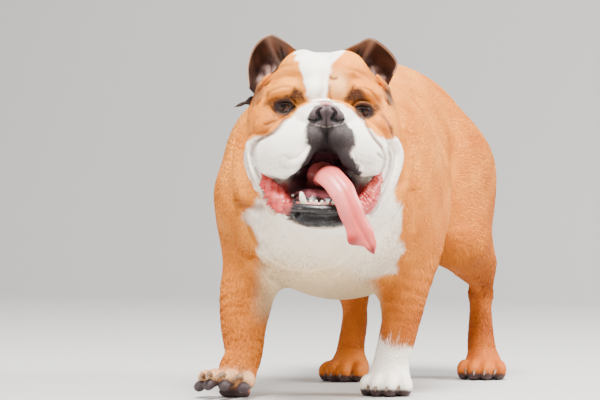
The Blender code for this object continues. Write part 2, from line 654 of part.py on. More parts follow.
def build_eyes(head):
    """Round eyes, each in a socket a little wider than itself."""
    eyes = {}
    for name, at in EYES.items():
        place = HEAD_POSE @ Matrix.Translation(at)
        place = place @ Matrix.Rotation(math.radians(90), 4, "X")
        for radius in (EYE_RADIUS + GAP, EYE_RADIUS):
            ball = bmesh.new()
            bmesh.ops.create_uvsphere(ball, u_segments=16, v_segments=9, radius=radius)
            obj = place_mesh(name, ball, place)
            if radius > EYE_RADIUS:
                boolean(head, obj, "DIFFERENCE")
            else:
                eyes[name] = obj
    return eyes


# Lines of the two ears in the head's frame: where each grows from the skull, and its rim
EAR_ROOTS = {
    "ear_right": [(-0.032, 0.040, 0.062), (-0.050, 0.042, 0.052), (-0.064, 0.040, 0.036),
                  (-0.074, 0.038, 0.016)],
    "ear_left": [(0.022, 0.044, 0.062), (0.042, 0.044, 0.054), (0.060, 0.042, 0.038),
                 (0.070, 0.040, 0.022)],
}
EAR_RIMS = {
    "ear_right": [(-0.032, 0.034, 0.070), (-0.046, 0.026, 0.080), (-0.063, 0.024, 0.087),
                  (-0.080, 0.026, 0.074), (-0.088, 0.032, 0.050), (-0.086, 0.034, 0.024)],
    "ear_left": [(0.021, 0.040, 0.069), (0.038, 0.030, 0.078), (0.054, 0.026, 0.085),
                 (0.072, 0.022, 0.074), (0.084, 0.022, 0.057), (0.080, 0.025, 0.044)],
}


def widen(points, extra):
    """A grid of points with its four edges drawn outwards by extra."""
    wide = points.copy()
    for edge, inner in ((0, 1), (-1, -2)):
        out = points[edge] - points[inner]
        wide[edge] += extra * out / np.linalg.norm(out, axis=1, keepdims=True)
    for edge, inner in ((0, 1), (-1, -2)):
        out = wide[:, edge] - wide[:, inner]
        wide[:, edge] += extra * out / np.linalg.norm(out, axis=1, keepdims=True)
    return wide


def ear_shell(name, rows, columns, extra):
    """A cupped ear: from the root line to the rim, swelling backwards between them."""
    root = smooth_line(EAR_ROOTS[name], columns)
    rim = smooth_line(EAR_RIMS[name], columns)
    share = np.linspace(0, 1, rows)[:, None, None]
    span = np.linspace(0, 1, columns)[None, :, None]
    middle = root * (1 - share) + rim * share
    depth = np.minimum(0.45 * np.linalg.norm(rim - root, axis=1), 0.020)[None, :, None]
    cup = np.sin(math.pi * share) * depth * (0.3 + 0.7 * np.sin(math.pi * span))
    middle = middle + cup * np.array([0.0, 1.0, 0.0])
    normal = grid_normals(middle)
    reach = normal * (EAR_THICKNESS / 2 * (1.0 - 0.35 * share) + extra)
    middle = widen(middle, extra) if extra else middle
    return shell(middle + reach, middle - reach)


def build_ears(head):
    """Rose ears, each with its root in a slot of the skull."""
    ears = {}
    for name in EAR_ROOTS:
        slot = place_mesh(name, ear_shell(name, 8, 14, 1.5 * GAP), HEAD_POSE)
        boolean(head, slot, "DIFFERENCE")
        ears[name] = place_mesh(name, ear_shell(name, 8, 14, 0.0), HEAD_POSE)
    return ears


TONGUE_LINE = [(-0.004, 0.016, -0.098), (-0.004, -0.006, -0.083), (-0.003, -0.028, -0.0725),
               (0.004, -0.050, -0.075), (0.017, -0.066, -0.090), (0.026, -0.072, -0.108),
               (0.034, -0.071, -0.126), (0.044, -0.067, -0.143), (0.0555, -0.062, -0.1625)]
TONGUE_HALVES = (0.0150, 0.0150, 0.0150, 0.0150, 0.0145, 0.0143, 0.0145, 0.0140, 0.0070)


def tongue_solid(extra):
    """The tongue: a flat tapering tube over the lower lip, hanging to the animal's left."""
    rows, sides = 20, 12
    line = smooth_line(TONGUE_LINE, rows)
    shares = np.linspace(0, 1, rows)
    halves = np.interp(shares, np.linspace(0, 1, len(TONGUE_HALVES)), TONGUE_HALVES)
    halves[-1] = 0.006
    halves = halves + extra
    ahead = np.gradient(line, axis=0)
    ahead = ahead / np.linalg.norm(ahead, axis=1, keepdims=True)
    across = np.cross(ahead, [0.0, -1.0, 0.35])
    across = across / np.linalg.norm(across, axis=1, keepdims=True)
    up = np.cross(across, ahead)
    thick = TONGUE_THICKNESS / 2 + extra
    rings = []
    for i in range(rows):
        ring = []
        for k in range(sides):
            turn = 2 * math.pi * k / sides
            wide, high = math.cos(turn), math.sin(turn)
            cup = 0.25 * halves[i] * (wide * wide - 0.5)
            ring.append(line[i] + across[i] * wide * halves[i] - up[i] * (high * thick + cup))
        rings.append(ring)
    return ring_tube(rings)


# Lower teeth in the head's frame: root, tip and root radius
LOWER_TEETH = (
    ((-0.0225, -0.042, -0.113), (-0.0270, -0.045, -0.0940), 0.0042),
    ((0.0250, -0.042, -0.113), (0.0270, -0.045, -0.0960), 0.0042),
    ((-0.0150, -0.046, -0.113), (-0.0150, -0.049, -0.1035), 0.0024),
    ((-0.0090, -0.048, -0.113), (-0.0090, -0.051, -0.1035), 0.0023),
    ((-0.0030, -0.049, -0.113), (-0.0030, -0.052, -0.1035), 0.0023),
    ((0.0030, -0.049, -0.113), (0.0030, -0.052, -0.1035), 0.0023),
    ((0.0090, -0.048, -0.113), (0.0090, -0.051, -0.1035), 0.0023),
    ((0.0150, -0.046, -0.113), (0.0150, -0.049, -0.1035), 0.0024),
    ((-0.0350, -0.024, -0.110), (-0.0350, -0.026, -0.098), 0.0036),
    ((0.0350, -0.024, -0.110), (0.0350, -0.026, -0.098), 0.0036),
)


def tooth(root, tip, radius):
    """A tapering tooth with a bluntly pointed end."""
    a, b = Vector(root), Vector(tip)
    return tube([a, a.lerp(b, 0.55), b], [radius, radius * 0.85, radius * 0.25], 7)


def part_head(head, jaw_tools):
    """Set the head's own solids in and part the lower jaw from it."""
    ys = np.linspace(-0.085, 0.105, 12)
    xs = np.linspace(-0.130, 0.130, 27)
    sheet = [[(x, y, jaw_height(x, y)) for x in xs] for y in ys]
    throat = side_cut([(0.112, 0.16), (0.092, -0.05), (0.030, -0.150), (0.018, -0.185)], 0.16, HEAD_POSE)
    boolean(head, throat, "DIFFERENCE")
    boolean(head, thin_cut(sheet, HEAD_POSE), "DIFFERENCE")
    marks = {
        "head": tuple(HEAD_POSE @ Vector((0, 0.02, -0.01))),
        "jaw": tuple(HEAD_POSE @ Vector((0, 0.0, -0.105))),
    }
    pieces = name_islands(head, marks)
    bpy.data.objects.remove(head)
    for teeth in jaw_tools:
        boolean(pieces["jaw"], teeth, "UNION")
    pieces.update(build_ears(pieces["head"]))
    pieces.update(build_eyes(pieces["head"]))
    for name in ("head", "jaw"):
        boolean(pieces[name], place_mesh("room", tongue_solid(2 * GAP), HEAD_POSE), "DIFFERENCE")
        pieces[name] = keep_largest(pieces[name])
    pieces["tongue"] = place_mesh("tongue", tongue_solid(0.0), HEAD_POSE)
    return pieces


def keep_largest(obj):
    """The object with only its largest closed surface."""
    name = obj.name
    best = max(islands(obj), key=lambda island: volume(*island))
    bpy.data.objects.remove(obj)
    return place_mesh(name, best)


def add_claws(pieces):
    """Curved claws fused to the paws, their roots sunk in the toes."""
    for name, (_, _, raised, _) in PAWS.items():
        pose = paw_pose(name)
        for x, y, spread in TOES:
            lean = math.radians(-spread)
            out = Vector((-math.sin(lean), -math.cos(lean), 0))
            root = Vector((x, y, 0.0135)) + out * 0.012
            middle = root + out * 0.0085 + Vector((0, 0, -0.0010))
            end = root + out * 0.0140 + Vector((0, 0, -0.0060))
            claw = tube([root, middle, end], [0.0034, 0.0029, 0.0009], 6, 0.8)
            boolean(pieces[name], place_mesh("claw", claw, pose), "UNION")
        pieces[name] = keep_largest(pieces[name])


def clean(obj):
    """Weld points that lie together and drop faces without area."""
    mesh = bmesh.new()
    mesh.from_mesh(obj.data)
    bmesh.ops.remove_doubles(mesh, verts=mesh.verts, dist=2e-6)
    bmesh.ops.dissolve_degenerate(mesh, edges=mesh.edges, dist=1e-6)
    bmesh.ops.triangulate(mesh, faces=mesh.faces)
    mesh.to_mesh(obj.data)
    mesh.free()


def paint(pieces):
    """One named material for each kind of surface."""
    slots = {}
    for name, colour in COATS.items():
        material = bpy.data.materials.new(name)
        material.diffuse_color = (*colour, 1.0)
        material.use_nodes = True
        shader = material.node_tree.nodes["Principled BSDF"]
        shader.inputs["Base Color"].default_value = (*colour, 1.0)
        shader.inputs["Roughness"].default_value = 0.15 if name == "eye_glass" else 0.7
        slots[name] = material
    for name, obj in pieces.items():
        kind = name.split("_")[0]
        slot = {"ear": "ear_skin", "eye": "eye_glass", "tongue": "tongue_skin",
                "forepaw": "paw_skin", "hindpaw": "paw_skin"}.get(kind, "coat")
        obj.data.materials.clear()
        obj.data.materials.append(slots[slot])


def stand_at_origin(pieces):
    """Move everything so that the origin is the middle of the bottom of the whole box."""
    points = np.vstack([[v.co for v in obj.data.vertices] for obj in pieces.values()])
    low, high = points.min(axis=0), points.max(axis=0)
    shift = Matrix.Translation((-(low[0] + high[0]) / 2, -(low[1] + high[1]) / 2, -low[2]))
    for obj in pieces.values():
        obj.data.transform(shift)


def model_all(s):
    """Every mass of the animal, in the one order that body and head share."""
    model_torso(s)
    model_neck(s)
    model_forelegs(s)
    model_hindlegs(s)
    model_paws(s)
    model_head(s)


def main():
    for obj in list(bpy.data.objects):
        bpy.data.objects.remove(obj)
    body = Sculpt((-0.20, -0.34, -0.012), (0.20, 0.37, 0.45), BODY_STEP)
    model_all(body)
    flesh = place_mesh("flesh", body.surface())
    decimate(flesh, BODY_TRIANGLES)
    pieces = part_body(flesh)
    head = Sculpt((-0.070, -0.345, 0.150), (0.190, -0.080, 0.445), HEAD_STEP)
    model_all(head)
    face = place_mesh("face", head.surface())
    decimate(face, HEAD_TRIANGLES)
    teeth = [place_mesh("tooth", tooth(*one), HEAD_POSE) for one in LOWER_TEETH]
    pieces.update(part_head(face, teeth))
    add_claws(pieces)
    for obj in pieces.values():
        clean(obj)
    paint(pieces)
    stand_at_origin(pieces)


main()
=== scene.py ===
"""The looks of a still, life-size model of an English bulldog: skin, coat, face, paws and light.

The model faces -Y, +X is its left side and +Z is up, all in metres. One skin covers all the
flesh. The eyes, teeth, tongue, claws and pads are pieces of their own, set in or on it.
"""

import math

import bpy
import numpy as np
import openvdb
from mathutils import Euler, Matrix, Vector


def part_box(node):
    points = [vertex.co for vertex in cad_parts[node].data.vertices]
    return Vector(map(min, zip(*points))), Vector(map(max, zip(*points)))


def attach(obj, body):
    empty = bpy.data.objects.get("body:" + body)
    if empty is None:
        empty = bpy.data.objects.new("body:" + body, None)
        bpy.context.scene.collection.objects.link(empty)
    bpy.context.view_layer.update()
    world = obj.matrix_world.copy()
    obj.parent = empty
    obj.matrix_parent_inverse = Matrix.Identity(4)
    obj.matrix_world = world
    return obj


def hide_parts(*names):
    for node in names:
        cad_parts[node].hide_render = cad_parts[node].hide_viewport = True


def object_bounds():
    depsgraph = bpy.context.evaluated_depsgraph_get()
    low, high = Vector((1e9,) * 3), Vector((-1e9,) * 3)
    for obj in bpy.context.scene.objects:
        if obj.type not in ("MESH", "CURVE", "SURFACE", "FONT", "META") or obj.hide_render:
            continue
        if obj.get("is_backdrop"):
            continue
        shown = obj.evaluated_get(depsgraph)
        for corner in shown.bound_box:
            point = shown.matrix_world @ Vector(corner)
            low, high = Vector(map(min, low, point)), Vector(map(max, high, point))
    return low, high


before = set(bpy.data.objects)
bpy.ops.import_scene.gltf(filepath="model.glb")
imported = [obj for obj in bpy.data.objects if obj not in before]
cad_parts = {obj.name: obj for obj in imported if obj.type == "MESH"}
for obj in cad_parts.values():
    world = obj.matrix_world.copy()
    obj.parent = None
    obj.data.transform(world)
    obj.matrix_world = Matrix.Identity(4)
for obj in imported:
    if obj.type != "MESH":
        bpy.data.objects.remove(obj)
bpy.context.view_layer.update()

# The form under the skin: masses of clay that melt into each other, with creases pressed in.
# It is worked out as a distance on a grid that is finest round eyes and nose and coarse far off.

FAR = 1.0
EYE_RADIUS = 0.0115
EYES = {"eye_left": (0.0443, 0.0060, -0.0006), "eye_right": (-0.0462, 0.0060, 0.0024)}
HEAD_AT = Vector((0.059, -0.241, 0.339))
HEAD_TURN = Euler((0.0, math.radians(1.0), math.radians(21.0)))
HEAD_POSE = Matrix.Translation(HEAD_AT) @ HEAD_TURN.to_matrix().to_4x4()
BODY_POSE = Matrix.Identity(4)
PAWS = {
    "forepaw_left": ((0.078, -0.050, 0.0), 4, 0, 0.88),
    "forepaw_right": ((-0.087, -0.148, 0.003), -6, 13, 1.10),
    "hindpaw_left": ((0.113, 0.255, 0.0), 8, 0, 0.90),
    "hindpaw_right": ((-0.044, 0.165, 0.0), -4, 0, 0.86),
}
TOES = ((-0.0250, -0.016, 10), (-0.0088, -0.028, 3), (0.0088, -0.028, -3), (0.0250, -0.016, -10))


def graded_axis(*zones):
    """Grid places along one axis, from zones of a start and a step; the last zone is the end."""
    places = [np.arange(low, high - step / 2, step) for (low, step), (high, _) in zip(zones, zones[1:])]
    return np.concatenate(places).astype(np.float32)


def smooth_line(points, count):
    """A Catmull-Rom curve: each span is a cubic through its two ends, sloping as their neighbours."""
    p = np.array(points, float)
    p = np.vstack([2 * p[0] - p[1], p, 2 * p[-1] - p[-2]])
    at = np.linspace(0, len(points) - 1 - 1e-9, count)
    i = at.astype(int)
    t = (at - i)[:, None]
    a, b, c, d = p[i], p[i + 1], p[i + 2], p[i + 3]
    return 0.5 * (
        2 * b
        + (c - a) * t
        + (2 * a - 5 * b + 4 * c - d) * t**2
        + (3 * b - a - 3 * c + d) * t**3
    )


class Clay:
    """A distance on the grid, negative inside the form; shapes are added in the set pose."""

    def __init__(self, axes):
        """An empty grid on three axes."""
        self.axes = axes
        self.value = np.full([len(axis) for axis in axes], FAR, np.float32)
        self.pose = BODY_POSE

    def window(self, low, high, reach):
        """The part of the grid that a box grown by reach covers, and its coordinates."""
        part = tuple(
            slice(max(0, np.searchsorted(axis, a - reach) - 1), np.searchsorted(axis, b + reach) + 1)
            for axis, a, b in zip(self.axes, low, high)
        )
        x, y, z = (axis[s] for axis, s in zip(self.axes, part))
        return part, (x[:, None, None], y[None, :, None], z[None, None, :])

    def blend(self, part, shape, width, carve):
        """The lower of form and shape, rounded over a width; for a carving, of form less shape."""
        sign = -1.0 if carve else 1.0
        mine = self.value[part] * sign
        near = np.maximum(width - np.abs(mine - shape), 0.0) / width
        self.value[part] = sign * (np.minimum(mine, shape) - near * near * width / 4)

    def ball(self, centre, radii, turn=(0, 0, 0), width=0.01, carve=False, both=False):
        """An ellipsoid: q (q - 1) / |grad q|, where q is the distance in units of its radii."""
        turned = Euler([math.radians(a) for a in turn]).to_matrix().to_4x4()
        for side in (1, -1) if both else (1,):
            mirror = Matrix.Diagonal((side, 1, 1, 1))
            place = self.pose @ mirror @ Matrix.Translation(centre) @ turned
            turn_rows = np.array(place.to_3x3(), np.float32)
            at = np.array(place.translation, np.float32)
            sizes = np.array(radii, np.float32)
            half = np.sqrt(((turn_rows * sizes) ** 2).sum(axis=1))
            part, (x, y, z) = self.window(at - half, at + half, width)
            if 0 in self.value[part].shape:
                continue
            x, y, z = x - at[0], y - at[1], z - at[2]
            outer = 0.0
            inner = 0.0
            for row, size in zip(turn_rows.T, sizes):
                along = (row[0] * x + row[1] * y + row[2] * z) / size
                outer = outer + along**2
                inner = inner + (along / size) ** 2
            outer = np.sqrt(outer)
            shape = outer * (outer - 1) / np.sqrt(np.maximum(inner, 1e-9))
            self.blend(part, shape, width, carve)

    def rope(self, points, radii, width=0.01, carve=False, both=False, smooth=True):
        """A limb, roll or crease: the distance to a curve less a radius that changes along it."""
        line = smooth_line(points, len(points) * 3) if smooth else np.array(points, float)
        shares = np.linspace(0, 1, len(line))
        sizes = np.interp(shares, np.linspace(0, 1, len(radii)), radii).astype(np.float32)
        for side in (1, -1) if both else (1,):
            place = self.pose @ Matrix.Diagonal((side, 1, 1, 1))
            at = np.array([place @ Vector(p) for p in line], np.float32)
            reach = sizes[:, None]
            part, (x, y, z) = self.window((at - reach).min(axis=0), (at + reach).max(axis=0), width)
            if 0 in self.value[part].shape:
                continue
            shape = None
            for a, b, r0, r1 in zip(at, at[1:], sizes, sizes[1:]):
                run = b - a
                dx, dy, dz = x - a[0], y - a[1], z - a[2]
                along = (dx * run[0] + dy * run[1] + dz * run[2]) / max(run @ run, 1e-9)
                along = np.clip(along, 0, 1)
                gap = (dx - along * run[0]) ** 2
                gap = gap + (dy - along * run[1]) ** 2
                gap = gap + (dz - along * run[2]) ** 2
                one = np.sqrt(gap) - (r0 + (r1 - r0) * along)
                shape = one if shape is None else np.minimum(shape, one)
            self.blend(part, shape, width, carve)

    def cone(self, start, end, radii, width=0.01, carve=False, both=False):
        """A round-ended limb between two points, its radius changing evenly."""
        self.rope([start, end], radii, width, carve, both, smooth=False)

    def surface(self):
        """The surface of distance nought, as points in metres, triangles and quads."""
        value = np.pad(self.value, 1, constant_values=FAR)
        grid = openvdb.FloatGrid(FAR)
        grid.copyFromArray(value)
        points, triangles, quads = grid.convertToPolygons(isovalue=0.0, adaptivity=0.0)
        for k, axis in enumerate(self.axes):
            points[:, k] = np.interp(points[:, k] - 1, np.arange(len(axis)), axis)
        return points, [*triangles.tolist(), *quads.tolist()]


def model_torso(s):
    """The barrel chest, the roached loin, the rump and the short tail."""
    s.pose = BODY_POSE
    s.ball((0, 0.000, 0.240), (0.124, 0.150, 0.130), width=0.01)
    s.ball((0.004, -0.090, 0.222), (0.100, 0.080, 0.084), width=0.05)
    s.ball((0, 0.060, 0.302), (0.100, 0.120, 0.092), width=0.05)
    s.ball((0, 0.155, 0.306), (0.098, 0.110, 0.108), width=0.05)
    s.ball((0, 0.215, 0.286), (0.112, 0.078, 0.110), width=0.04)
    s.ball((0.062, 0.225, 0.252), (0.066, 0.070, 0.085), (0, 10, 0), 0.03, both=True)
    s.ball((0, 0.120, 0.232), (0.092, 0.110, 0.070), width=0.04)
    # shoulder blades and the loose fold of skin behind the left one
    s.ball((0.066, -0.040, 0.312), (0.050, 0.070, 0.060), (0, -25, 0), 0.03, both=True)
    s.ball((0.097, -0.035, 0.245), (0.037, 0.062, 0.075), (10, 0, 0), 0.05)
    s.ball((-0.086, -0.075, 0.235), (0.033, 0.060, 0.078), (10, 0, 0), 0.05)
    s.rope(
        [(0.080, 0.026, 0.344), (0.106, 0.022, 0.304), (0.128, 0.016, 0.258),
         (0.130, 0.006, 0.212)],
        (0.001, 0.004, 0.005, 0.001), 0.026,
    )
    s.rope(
        [(0.090, 0.056, 0.366), (0.107, 0.050, 0.348), (0.129, 0.040, 0.310),
         (0.150, 0.036, 0.262), (0.154, 0.014, 0.210)],
        (0.0002, 0.001, 0.002, 0.001, 0.0002), 0.020, carve=True,
    )
    # tail
    s.rope(
        [(0, 0.268, 0.342), (0, 0.300, 0.334), (0.003, 0.322, 0.312), (0.009, 0.330, 0.282)],
        (0.019, 0.0165, 0.014, 0.009), 0.014,
    )


def model_neck(s):
    """The short thick neck, bent to the animal's left, the throat and the forechest."""
    s.pose = BODY_POSE
    s.cone((0.036, -0.165, 0.325), (0.0, -0.030, 0.292), (0.074, 0.092), 0.04)
    s.cone((0.042, -0.165, 0.262), (0.0, -0.080, 0.240), (0.070, 0.084), 0.04)
    s.ball((0.012, -0.130, 0.205), (0.078, 0.048, 0.062), width=0.04)
    # folds of the throat, from under each ear down to the forechest
    s.rope(
        [(-0.046, -0.165, 0.345), (-0.068, -0.150, 0.300), (-0.066, -0.160, 0.250),
         (-0.048, -0.172, 0.222), (-0.026, -0.178, 0.208)],
        (0.010, 0.017, 0.016, 0.008, 0.001), 0.02,
    )
    s.rope(
        [(0.122, -0.138, 0.318), (0.122, -0.128, 0.280), (0.108, -0.140, 0.235),
         (0.075, -0.165, 0.205)],
        (0.004, 0.012, 0.014, 0.010), 0.02,
    )


def model_forelegs(s):
    """Stout, wide-set forelegs: the left under the shoulder, the right reaching forward."""
    s.pose = BODY_POSE
    left = [(0.093, -0.035, 0.236), (0.095, -0.024, 0.172), (0.091, -0.034, 0.122),
            (0.0885, -0.038, 0.088), (0.081, -0.042, 0.052), (0.077, -0.046, 0.030)]
    s.rope(left, (0.036, 0.038, 0.0310, 0.0250, 0.0235, 0.0240), 0.03)
    right = [(-0.090, -0.080, 0.240), (-0.089, -0.068, 0.170), (-0.0870, -0.100, 0.118),
             (-0.085, -0.116, 0.085), (-0.079, -0.132, 0.052), (-0.082, -0.142, 0.034)]
    s.rope(right, (0.042, 0.040, 0.0345, 0.0295, 0.0240, 0.0250), 0.02)
    # elbows
    s.ball((0.102, 0.002, 0.172), (0.017, 0.020, 0.022), width=0.02)
    s.ball((-0.100, -0.034, 0.170), (0.017, 0.020, 0.022), width=0.02)


def model_hindlegs(s):
    """Hindlegs: thick thighs, hocks set low, the right foot further forward."""
    s.pose = BODY_POSE
    s.cone((0.066, 0.215, 0.262), (0.098, 0.190, 0.185), (0.064, 0.040), 0.04)
    s.cone((0.066, 0.240, 0.235), (0.104, 0.238, 0.155), (0.056, 0.026), 0.03)
    s.rope(
        [(0.099, 0.198, 0.180), (0.110, 0.245, 0.142), (0.100, 0.290, 0.110)],
        (0.036, 0.021, 0.0150), 0.02,
    )
    s.rope(
        [(0.100, 0.290, 0.110), (0.101, 0.285, 0.080), (0.104, 0.276, 0.050), (0.110, 0.262, 0.028)],
        (0.0155, 0.0170, 0.0195, 0.0220), 0.012,
    )
    s.cone((-0.064, 0.215, 0.262), (-0.082, 0.150, 0.180), (0.064, 0.044), 0.04)
    s.cone((-0.064, 0.230, 0.235), (-0.076, 0.185, 0.150), (0.056, 0.028), 0.03)
    s.rope(
        [(-0.078, 0.150, 0.175), (-0.062, 0.180, 0.140), (-0.049, 0.205, 0.110)],
        (0.038, 0.026, 0.0180), 0.02,
    )
    s.rope(
        [(-0.049, 0.205, 0.110), (-0.046, 0.200, 0.080), (-0.047, 0.190, 0.050), (-0.045, 0.175, 0.028)],
        (0.0180, 0.0185, 0.0190, 0.0215), 0.012,
    )


def paw_pose(name):
    """The paw's own frame: toes towards -Y, and raised ones turned up about the heel."""
    place, heading, raised, size = PAWS[name]
    turn = Euler((math.radians(-raised), 0.0, math.radians(heading))).to_matrix()
    return Matrix.Translation(place) @ turn.to_4x4() @ Matrix.Scale(size, 4)


def model_paws(s):
    """Four knuckled toes, the pads under them and the large pad behind."""
    for name, (place, heading, raised, size) in PAWS.items():
        s.pose = paw_pose(name)
        s.ball((0, 0.004, 0.018), (0.024, 0.030, 0.019), width=0.010)
        for x, y, spread in TOES:
            s.ball((x, y, 0.0145), (0.0108, 0.0190, 0.0140), (0, 0, -spread), 0.005)
            s.ball((x * 1.02, y - 0.006, 0.0055), (0.0080, 0.0100, 0.0065), width=0.004)
        if raised:
            s.ball((0, 0.004, 0.003), (0.0240, 0.0200, 0.0110), width=0.008)
        else:
            s.ball((0, 0.004, 0.005), (0.0185, 0.0140, 0.0070), width=0.005)
    s.pose = BODY_POSE


def model_head(s):
    """The skull, brows, cheeks, muzzle, jaw, nose and folds, in the head's own frame."""
    s.pose = HEAD_POSE
    # skull with its furrow, cheeks and the throat behind the jaw
    s.ball((0, 0.064, 0.006), (0.077, 0.072, 0.062), width=0.02)
    s.ball((0.023, 0.030, 0.040), (0.029, 0.042, 0.030), width=0.012, both=True)
    s.ball((0.056, 0.048, -0.024), (0.031, 0.045, 0.044), width=0.03, both=True)
    s.ball((0, 0.062, -0.060), (0.074, 0.052, 0.052), width=0.03)
    s.rope([(0, -0.018, 0.026), (-0.003, -0.014, 0.050), (-0.006, 0.008, 0.071), (-0.006, 0.04, 0.080)],
           (0.001, 0.003, 0.005, 0.005), 0.014, carve=True)
    s.rope([(0.007, -0.022, 0.038), (0.012, -0.021, 0.034), (0.013, -0.020, 0.026)],
           (0.0006, 0.0022, 0.0006), 0.006, carve=True)
    # brows, frown lines between them and the stop
    s.ball((0.042, 0.006, 0.022), (0.026, 0.020, 0.013), (0, 14, 0), 0.010, both=True)
    s.ball((0.015, -0.004, 0.020), (0.012, 0.015, 0.017), (0, -14, 0), 0.008, both=True)
    s.rope([(0.020, -0.022, 0.010), (0.027, -0.014, 0.022), (0.031, -0.010, 0.036)],
           (0.0010, 0.0020, 0.0006), 0.007, carve=True, both=True)
    s.rope([(0.036, -0.010, 0.036), (0.052, -0.002, 0.038), (0.066, 0.010, 0.030)],
           (0.0004, 0.0018, 0.0004), 0.010, carve=True, both=True)
    # cheek pads under the eyes
    s.ball((0.063, 0.006, -0.017), (0.019, 0.017, 0.013), (0, 24, 0), 0.010, both=True)
    # muzzle, flews and lip pads; the animal's left flew is drawn up a little
    s.ball((0, 0.004, -0.036), (0.052, 0.043, 0.030), width=0.012)
    s.ball((0, -0.036, -0.030), (0.020, 0.014, 0.020), width=0.008)
    s.ball((-0.036, -0.028, -0.045), (0.034, 0.030, 0.038), (0, 20, 0), 0.010)
    s.ball((0.035, -0.028, -0.043), (0.033, 0.030, 0.036), (0, -20, 0), 0.010)
    s.ball((-0.056, -0.008, -0.052), (0.025, 0.027, 0.028), (0, 12, 0), 0.010)
    s.ball((0.053, -0.008, -0.050), (0.023, 0.027, 0.027), (0, -12, 0), 0.010)
    s.ball((0.015, -0.046, -0.033), (0.016, 0.015, 0.016), width=0.006, both=True)
    s.ball((0.024, -0.046, -0.058), (0.0120, 0.0125, 0.023), (0, -40, 0), 0.007, both=True)
    # lower jaw and chin, hollowed above by the mouth
    s.ball((0, -0.010, -0.118), (0.044, 0.042, 0.020), (-8, 0, 0), 0.012)
    s.ball((-0.002, -0.042, -0.125), (0.032, 0.016, 0.013), width=0.010)
    s.cone((0.050, 0.040, -0.080), (0.036, -0.020, -0.112), (0.026, 0.015), 0.014, both=True)
    s.ball((0, -0.022, -0.086), (0.040, 0.052, 0.024), (-12, 0, 0), 0.006, carve=True)
    s.ball((0, -0.040, -0.064), (0.017, 0.032, 0.018), width=0.005, carve=True)
    s.ball((-0.012, -0.010, -0.106), (0.028, 0.032, 0.017), width=0.006)
    # lower lips from the corners to the chin, and the dark lip across it
    s.rope(
        [(0.066, 0.000, -0.074), (0.061, -0.014, -0.090), (0.053, -0.026, -0.108),
         (0.042, -0.036, -0.117)],
        (0.006, 0.008, 0.009, 0.007), 0.006, both=True,
    )
    s.rope(
        [(-0.042, -0.040, -0.112), (-0.026, -0.052, -0.113), (0, -0.057, -0.1145),
         (0.026, -0.052, -0.113), (0.042, -0.040, -0.112)],
        (0.006, 0.0072, 0.006), 0.004,
    )
    s.rope(
        [(-0.036, -0.052, -0.1215), (0, -0.062, -0.1235), (0.036, -0.052, -0.1215)],
        (0.0010, 0.0022, 0.0010), 0.004, carve=True,
    )
    # the line of the mouth between flew and lower lip, back to the corner
    s.rope(
        [(0.080, 0.006, -0.052), (0.077, -0.008, -0.062), (0.067, -0.028, -0.078),
         (0.050, -0.048, -0.089), (0.030, -0.056, -0.088)],
        (0.0012, 0.0020, 0.0026, 0.0030), 0.003, carve=True, both=True,
    )
    # the roll over the nose and the deep crease behind it, down beside the muzzle
    s.rope(
        [(-0.050, -0.014, -0.036), (-0.041, -0.028, -0.018), (-0.024, -0.038, -0.002),
         (0, -0.041, 0.0045), (0.024, -0.038, -0.002), (0.041, -0.028, -0.018),
         (0.050, -0.014, -0.036)],
        (0.008, 0.0085, 0.0075, 0.0085, 0.008), 0.006,
    )
    s.rope(
        [(-0.072, -0.006, -0.034), (-0.058, -0.015, -0.027), (-0.044, -0.018, -0.015),
         (-0.034, -0.024, -0.002), (-0.018, -0.032, 0.009), (0, -0.034, 0.0135),
         (0.018, -0.032, 0.009), (0.034, -0.024, -0.002), (0.044, -0.018, -0.015),
         (0.056, -0.015, -0.027), (0.068, -0.006, -0.042)],
        (0.0025, 0.0035, 0.0030, 0.0030, 0.0025, 0.0020, 0.0025, 0.0030, 0.0030, 0.0035, 0.0025),
        0.004, carve=True,
    )
    # outer cheek folds, from beside the muzzle round the corner of the mouth to the throat
    s.rope(
        [(0.066, 0.000, -0.026), (0.080, 0.008, -0.034), (0.087, 0.012, -0.050),
         (0.084, 0.008, -0.068), (0.077, 0.002, -0.086), (0.068, -0.004, -0.102),
         (0.056, -0.010, -0.118)],
        (0.006, 0.0070, 0.0070, 0.0065, 0.006), 0.004, both=True,
    )
    s.rope(
        [(0.068, -0.014, -0.032), (0.077, -0.006, -0.042), (0.081, -0.004, -0.054),
         (0.078, -0.008, -0.070), (0.071, -0.014, -0.086)],
        (0.0015, 0.0025, 0.0028, 0.0022), 0.003, carve=True, both=True,
    )
    s.rope(
        [(0.076, 0.004, -0.006), (0.089, 0.014, -0.022), (0.095, 0.020, -0.046),
         (0.090, 0.014, -0.078), (0.078, 0.004, -0.104)],
        (0.0008, 0.0024, 0.0026, 0.0010), 0.005, carve=True, both=True,
    )
